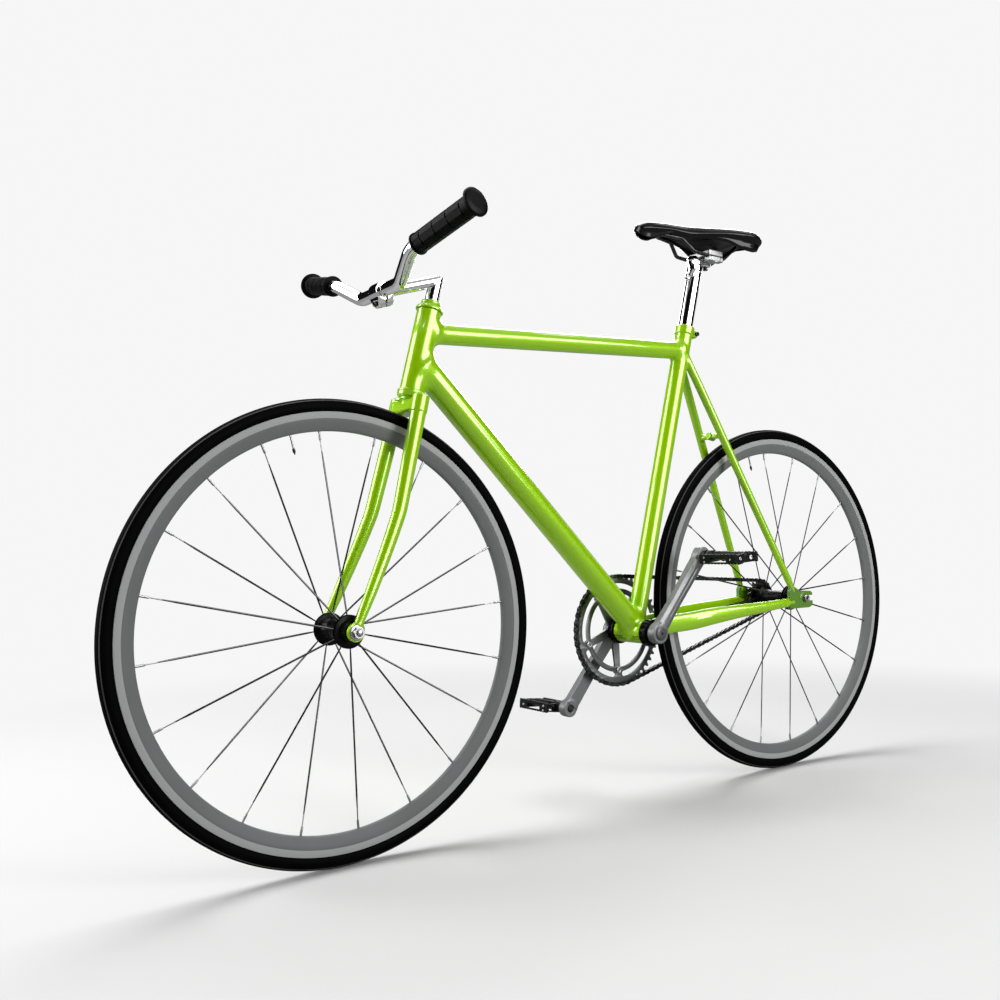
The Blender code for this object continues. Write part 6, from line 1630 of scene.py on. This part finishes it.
def pedalField(sign):
    middle, ahead, rise = pedalAxes(sign)
    out = side * sign
    eye = pedalEye[sign]
    s = pedalSizes

    def window(x, y, low, high, reach, fillet):
        # a rounded opening in a plate: half width reach along y, from low to high up the plate
        return trim(np.abs(y) - reach, np.abs(x - (low + high) / 2) - (high - low) / 2, fillet)

    def field(p):
        q = p - middle
        x, y, z = q @ ahead, q @ out, q @ rise
        half, width = s["halfLength"] * mm, (s["outer"] - s["inner"]) / 2 * mm
        wall, high = s["wall"] * mm, s["halfHeight"] * mm
        saw = s["tooth"] * mm * np.clip(np.sin(y / s["toothPitch"] * 2 * math.pi) * 2.5, -1, 1)
        plate = trim(trim(np.abs(np.abs(x) - half + wall / 2) - wall / 2, np.abs(y) - width, 0.0006),
                     np.abs(z) - high + 0.0006 - saw, 0.0005)
        ahead1 = window(z, y - 0.001, -0.0052, 0.0030, 0.0185, 0.0022)
        behind = window(z, y - 0.004, -0.0052, 0.0052, 0.0280, 0.0030)
        plate = carve(plate, np.where(x > 0, ahead1, behind), 0.0005)
        ends = trim(trim(np.abs(np.abs(y) - width + wall / 2) - wall / 2, np.abs(x) - half, 0.0006),
                    np.abs(z) - 0.0078 + 0.0014 * np.clip((np.abs(x) - 0.010) / 0.02, 0, 1), 0.0008)
        oval = np.sqrt(((x + 0.0130) / 1.45) ** 2 + z ** 2) - 0.0037
        sides = window(z, np.abs(x) - 0.0178, -0.0046, 0.0046, 0.0065, 0.0030)
        ends = carve(ends, np.where(y > 0, oval, sides), 0.0005)
        hook = rodField(p, middle + ahead * (half - 0.008) + out * (width - 0.002) - rise * 0.0085,
                        middle + ahead * (half - 0.020) + out * (width - 0.002) - rise * 0.0075, 0.0019)
        barrel = pathField(p, eye + out * s["barrelAt"][:, None], s["barrelRadius"], s["barrelRadius"])
        neck = rodField(p, eye + out * s["inner"] * mm, eye + out * (s["inner"] + 11) * mm, 0.0097, 0.0012)
        arm = blockField(p, eye + out * (s["inner"] + 3) * mm - rise * 0.004, ahead, rise,
                         np.array((0.030, 0.006, 0.010)), 0.002)
        d = meld(meld(plate, ends, 0.0012), hook, 0.0010)
        d = meld(d, meld(meld(barrel, neck, 0.0016), arm, 0.0010), 0.0012)
        bore = pathField(p, eye + out * s["boreAt"][:, None], s["boreRadius"], s["boreRadius"])
        return carve(d, bore, 0.0004)
    return field


for sign, label in ((1, "left"), (-1, "right")):
    middle, ahead, rise = pedalAxes(sign)
    corners = np.array([middle + ahead * a * 0.0300 + rise * b * 0.0125 + side * c * 0.042
                        for a in (-1, 1) for b in (-1, 1) for c in (-1, 1)])
    cage = sculpt(pedalField(sign), corners.min(0), corners.max(0), pedalSizes["cell"], 1)
    body = f"pedal_{label}"
    addPiece(f"{label}PedalCage", cage, look["cageBlack"][0], body, (f"pedal_{label}",))
    bolts = []
    for reach, height in ((-0.0296, 0.0026), (-0.0290, -0.0052), (0.0290, -0.0008)):
        for way in (1, -1):
            foot = middle + ahead * way * 0.0284 + side * sign * reach + rise * height
            bolts.append(capScrew(0.0021, 0.0012, 0.0010, 0.003, foot, ahead * way, 0.0018))
    foot = middle + ahead * 0.0165 + side * sign * 0.0403
    bolts.append(capScrew(0.0030, 0.0014, 0.0020, 0.002, foot, side * sign, 0.0030))
    addPiece(f"{label}PedalBolts", join(bolts), look["brightSteel"][0], body, (f"pedal_{label}",),
             30)
    axleLine = np.array([(0.1, 162), (4.2, 162), (4.4, 161.6), (6.4, 120), (6.4, 84.4), (8.4, 84.4),
                         (8.8, 84.0), (8.8, 79.0), (8.4, 78.6), (6.4, 78.6), (6.4, 61.4), (6.0, 61),
                         (0.1, 61)]) * mm
    addPiece(f"{label}PedalAxle", revolve(axleLine, pedalEye[sign], side * sign, 48), look["boltBlack"][0],
             "crankset", (f"pedal_axle_{label}",), 30)
print("pedals made")


# seatpost, rail clamp and saddle

seatSizes = {"postRadius": 0.01355, "low": 745, "top": 958, "pivot": (-302.5, 0, 986.8), "cell": 0.0009,
             "cradle": 0.0115, "railY": 0.023, "railRadius": 0.0035, "grooveRadius": 0.0037,
             "boltBore": 0.0035, "clampCell": 0.0008}
pivot = vec(*seatSizes["pivot"])
headStations = ((948, -276, -251, 12.4), (955, -282, -253.5, 13.1), (962, -288, -257, 13.3),
                (970, -291, -255.5, 13.2), (973.5, -313, -255, 12.9), (978, -314.5, -254.5, 12.4),
                (980.5, -288, -254.5, 12), (986, -279, -259, 10), (989, -275, -262, 8.4))


def headField(p):
    # an oval whose back, front and half width change with height; the clamp's cradle is cut out of it
    z = p[:, 2]
    levels = [s[0] * mm for s in headStations]
    back = np.interp(z, levels, [s[1] * mm for s in headStations])
    front = np.interp(z, levels, [s[2] * mm for s in headStations])
    half = np.interp(z, levels, [s[3] * mm for s in headStations])
    reach = (front - back) / 2
    a = (p[:, 0] - (back + front) / 2) / reach
    b = p[:, 1] / half
    d = (np.sqrt(a * a + b * b) - 1) * np.minimum(reach, half) * 0.8
    return trim(trim(d, z - levels[-1], 0.0012), levels[0] - z, 0.0012)


def postField(p):
    s = seatSizes
    post = rodField(p, seatPoint(s["low"] * mm), seatPoint(s["top"] * mm), s["postRadius"], 0.0010)
    d = meld(post, headField(p), 0.0030)
    d = carve(d, rodField(p, pivot - side * 0.04, pivot + side * 0.04, s["cradle"] + 0.0002), 0.0006)
    slot = blockField(p, pivot - np.array((0, 0, 0.020)), (1, 0, 0), (0, 0, 1), vec(12, 7, 30), 0.0010)
    return carve(d, slot, 0.0006)


post = sculpt(postField, vec(-320, -16, 742), vec(-206, 16, 992), seatSizes["cell"], 2)
addPiece("seatpostBody", post, look["polishedChrome"][0], "seatpost", ("seatpost",))

railWay = unit(vec(-249, 23, 990.8) - vec(-326, 23, 985))


def grooves(p):
    d = np.full(len(p), 1.0)
    for sign in (1, -1):
        place = pivot + side * sign * seatSizes["railY"]
        d = np.minimum(d, rodField(p, place - railWay * 0.05, place + railWay * 0.05,
                                   seatSizes["grooveRadius"]))
    return d


def clampBore(p):
    return rodField(p, pivot - up * 0.04, pivot + up * 0.04, seatSizes["boltBore"])


def lowerClampField(p):
    d = rodField(p, pivot - side * 0.029, pivot + side * 0.029, seatSizes["cradle"] - 0.0002, 0.0010)
    for sign in (1, -1):
        block = blockField(p, pivot + np.array((0, sign * 0.022, -0.0045)), (1, 0, 0), (0, 0, 1),
                           vec(38, 14, 9), 0.0018)
        d = meld(d, block, 0.0014)
    d = trim(d, p[:, 2] - pivot[2] + 0.0002, 0.0005)
    d = carve(d, grooves(p), 0.0004)
    return carve(d, clampBore(p), 0.0003)


def upperClampField(p):
    d = blockField(p, pivot + up * 0.0066, (1, 0, 0), (0, 0, 1), vec(38, 58, 12), 0.0026)
    line = blockField(p, pivot + up * 0.0136, (1, 0, 0), (0, 0, 1), vec(60, 42, 4), 0.0008)
    d = carve(d, np.maximum(line, np.abs(p[:, 0] - pivot[0]) - 0.0158), 0.0006)
    d = carve(d, grooves(p), 0.0004)
    return carve(d, clampBore(p), 0.0003)


lowBox, highBox = pivot - vec(22, 31, 14), pivot + vec(22, 31, 16)
for label, field in (("Lower", lowerClampField), ("Upper", upperClampField)):
    addPiece(f"railClamp{label}", sculpt(field, lowBox, highBox, seatSizes["clampCell"], 1),
             look["clampSteel"][0], "saddle", (f"saddle_clamp_{label.lower()}",))
clampBolt = np.array([(0.1, 15), (2.6, 15), (2.7, 17.2), (3.0, 17.4), (4.6, 17.4), (5, 17), (5, 13),
                      (3, 13), (3, -17.4), (4.6, -17.4), (4.6, -19.8), (4.2, -20.2), (0.1, -20.2)]) * mm
addPiece("railClampBolt", revolve(clampBolt, pivot, up, 40), look["boltBlack"][0], "saddle",
         ("saddle_clamp_bolt",), 30)
earCentre = seatPoint(frameSizes["earZ"]) - vec(24, 0, 0)
seatBolt = capScrew(0.0042, 0.0040, 0.0025, 0.0170, earCentre + side * 0.0088, side, 0.004)
seatNut = capScrew(0.0042, 0.0030, 0.0024, 0.0010, earCentre - side * 0.0088, -side, 0.004)
addPiece("seatClampScrew", join([seatBolt, seatNut]), look["boltBlack"][0], "frame", ("seat_clamp_bolt",),
         30)
railCorners = [vec(-362, 24.2, 1014.4), vec(-326, 23, 985), vec(-249, 23, 990.8), vec(-226, 15, 1013),
               vec(-186, 9, 1014.8), vec(-180, 4, 1014.8)]
halfRail = bentPath(railCorners, [0.016, 0.014, 0.012, 0.004], 10, 8)
rails = np.vstack([halfRail, (halfRail * mirrorY)[::-1]])
keep = np.concatenate([[True], np.linalg.norm(np.diff(rails, axis=0), axis=1) > 1e-5])
addPiece("saddleRailBar", tube(rails[keep], seatSizes["railRadius"], 20), look["boltBlack"][0], "saddle",
         ("saddle_rails",), 60)

saddleSizes = {"wall": 3.2, "sections": 150, "seamAt": 14.5, "seamWidth": 0.8, "seamDepth": 0.55,
               "baseFrom": -372, "baseTo": -135, "baseAcross": 31}

# nose to tail: x, half width, top, skirt edge, ceiling of the hollow, and the skirt's share of the width
saddleStations = (
    (-126.5, 5, 1018.5, 1012, 1014.5, 0.8), (-128, 9, 1024, 1009.3, 1013.6, 0.66),
    (-132, 13.2, 1028.4, 1007.0, 1014, 0.6), (-145, 17, 1033, 1004.0, 1017, 0.62),
    (-162, 19, 1035.6, 1005.3, 1021.5, 0.7), (-178, 20, 1037, 1011.6, 1022.5, 0.8),
    (-195, 21.5, 1038.3, 1015.8, 1023.5, 0.86), (-220, 25, 1039.3, 1015.5, 1023.5, 0.86),
    (-248, 33, 1040, 1014, 1023, 0.86), (-275, 46, 1041, 1014, 1022.5, 0.86),
    (-305, 60, 1042.4, 1010.5, 1022.5, 0.86), (-335, 70, 1044, 999.5, 1023, 0.86),
    (-362, 73.4, 1044.5, 996.2, 1023, 0.86), (-378, 71.8, 1042.4, 998.8, 1022, 0.86),
    (-386, 68.6, 1038.6, 1002.6, 1020.5, 0.85), (-389.6, 65, 1034.6, 1006.4, 1019.4, 0.84),
    (-390.5, 60, 1029.5, 1010.5, 1019, 0.83))


def saddleSection(station, count=30):
    # crown, side and drawn-in skirt as one smooth line; then back up inside the hollow
    x, half, top, skirt, ceiling, waist = station
    crown = min(14, half * 0.5)
    drop = top - skirt
    wall = saddleSizes["wall"] if half > 10 else min(2.0, half * waist * 0.4)
    outer = [(0, top), (half * 0.38, top - crown * 0.09), (half * 0.70, top - crown * 0.38),
             (half * 0.92, top - crown * 0.92), (half, top - crown - drop * 0.17),
             (half * (waist * 0.5 + 0.47), top - crown - drop * 0.36),
             (half * (waist + 0.03), skirt + drop * 0.12), (half * waist - 0.3, skirt + 0.8)]
    outer = smoothRow(outer, count)
    lip = [(half * waist - wall * 0.5, skirt)]
    inner = [(half * waist - wall, skirt + 0.9), (half * waist - wall, ceiling - 1.5),
             (half * waist - wall - min(3, half * waist * 0.3), ceiling), (0, ceiling)]
    line = np.vstack([outer, lip, inner])
    mirrored = line[::-1][1:-1] * (-1, 1)
    line = np.vstack([line, mirrored])
    return np.column_stack([np.full(len(line), x), line[:, 0], line[:, 1]])


def saddleSkin():
    s = saddleSizes
    dense = smoothRow(saddleStations, saddleSizes["sections"])
    dense[0], dense[-1] = saddleStations[0], saddleStations[-1]
    sections = np.array([saddleSection(row) for row in dense])
    # two seams run from nose to tail where the top panel meets the sides: each is a bell-shaped groove
    share = np.arange(sections.shape[1])
    seam = (np.exp(-((share - s["seamAt"]) / s["seamWidth"]) ** 2)
            + np.exp(-((share - (sections.shape[1] - s["seamAt"])) / s["seamWidth"]) ** 2))
    middle = np.column_stack([dense[:, 0], dense[:, 0] * 0, (dense[:, 2] + dense[:, 4]) / 2])[:, None]
    way = middle - sections
    way[..., 0] = 0
    way /= np.maximum(np.linalg.norm(way, axis=2, keepdims=True), 1e-6)
    return skin((sections + way * seam[None, :, None] * s["seamDepth"]) * mm)


cover = addPiece("saddleLeather", saddleSkin(), look["glossLeather"][0], "saddle", ("saddle_cover",),
                 50)


def baseSkin():
    # a flat pan inside the cover with two ribs along its underside
    s = saddleSizes
    dense = smoothRow([row for row in saddleStations if s["baseFrom"] < row[0] < s["baseTo"]], 80)
    rows = []
    for x, half, _, _, ceiling, waist in dense:
        inside = half * waist - s["wall"] - 0.6
        upper, lower = ceiling - 1.7, ceiling - 4.2
        across = np.linspace(-1, 1, s["baseAcross"])
        rib = 0.9 * np.exp(-((np.abs(across) - 0.55) / 0.07) ** 2)
        down = lower - rib * min(1, inside / 20)
        here = np.full(len(across), x)
        rows.append(np.vstack([np.column_stack([here, across * inside, np.full(len(across), upper)]),
                               np.column_stack([here, across[::-1] * inside, down[::-1]])]))
    return skin(np.array(rows) * mm)


addPiece("saddleShellBase", baseSkin(), look["baseShell"][0], "saddle", ("saddle_base",),
         40)
print("saddle made")


# two CAD nodes are hidden inside the bottom bracket, so they keep their own shape
for nodeName in ("bottom_bracket_cartridge", "crank_spindle"):
    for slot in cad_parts[nodeName].material_slots:
        slot.material = look["brightSteel"][0]
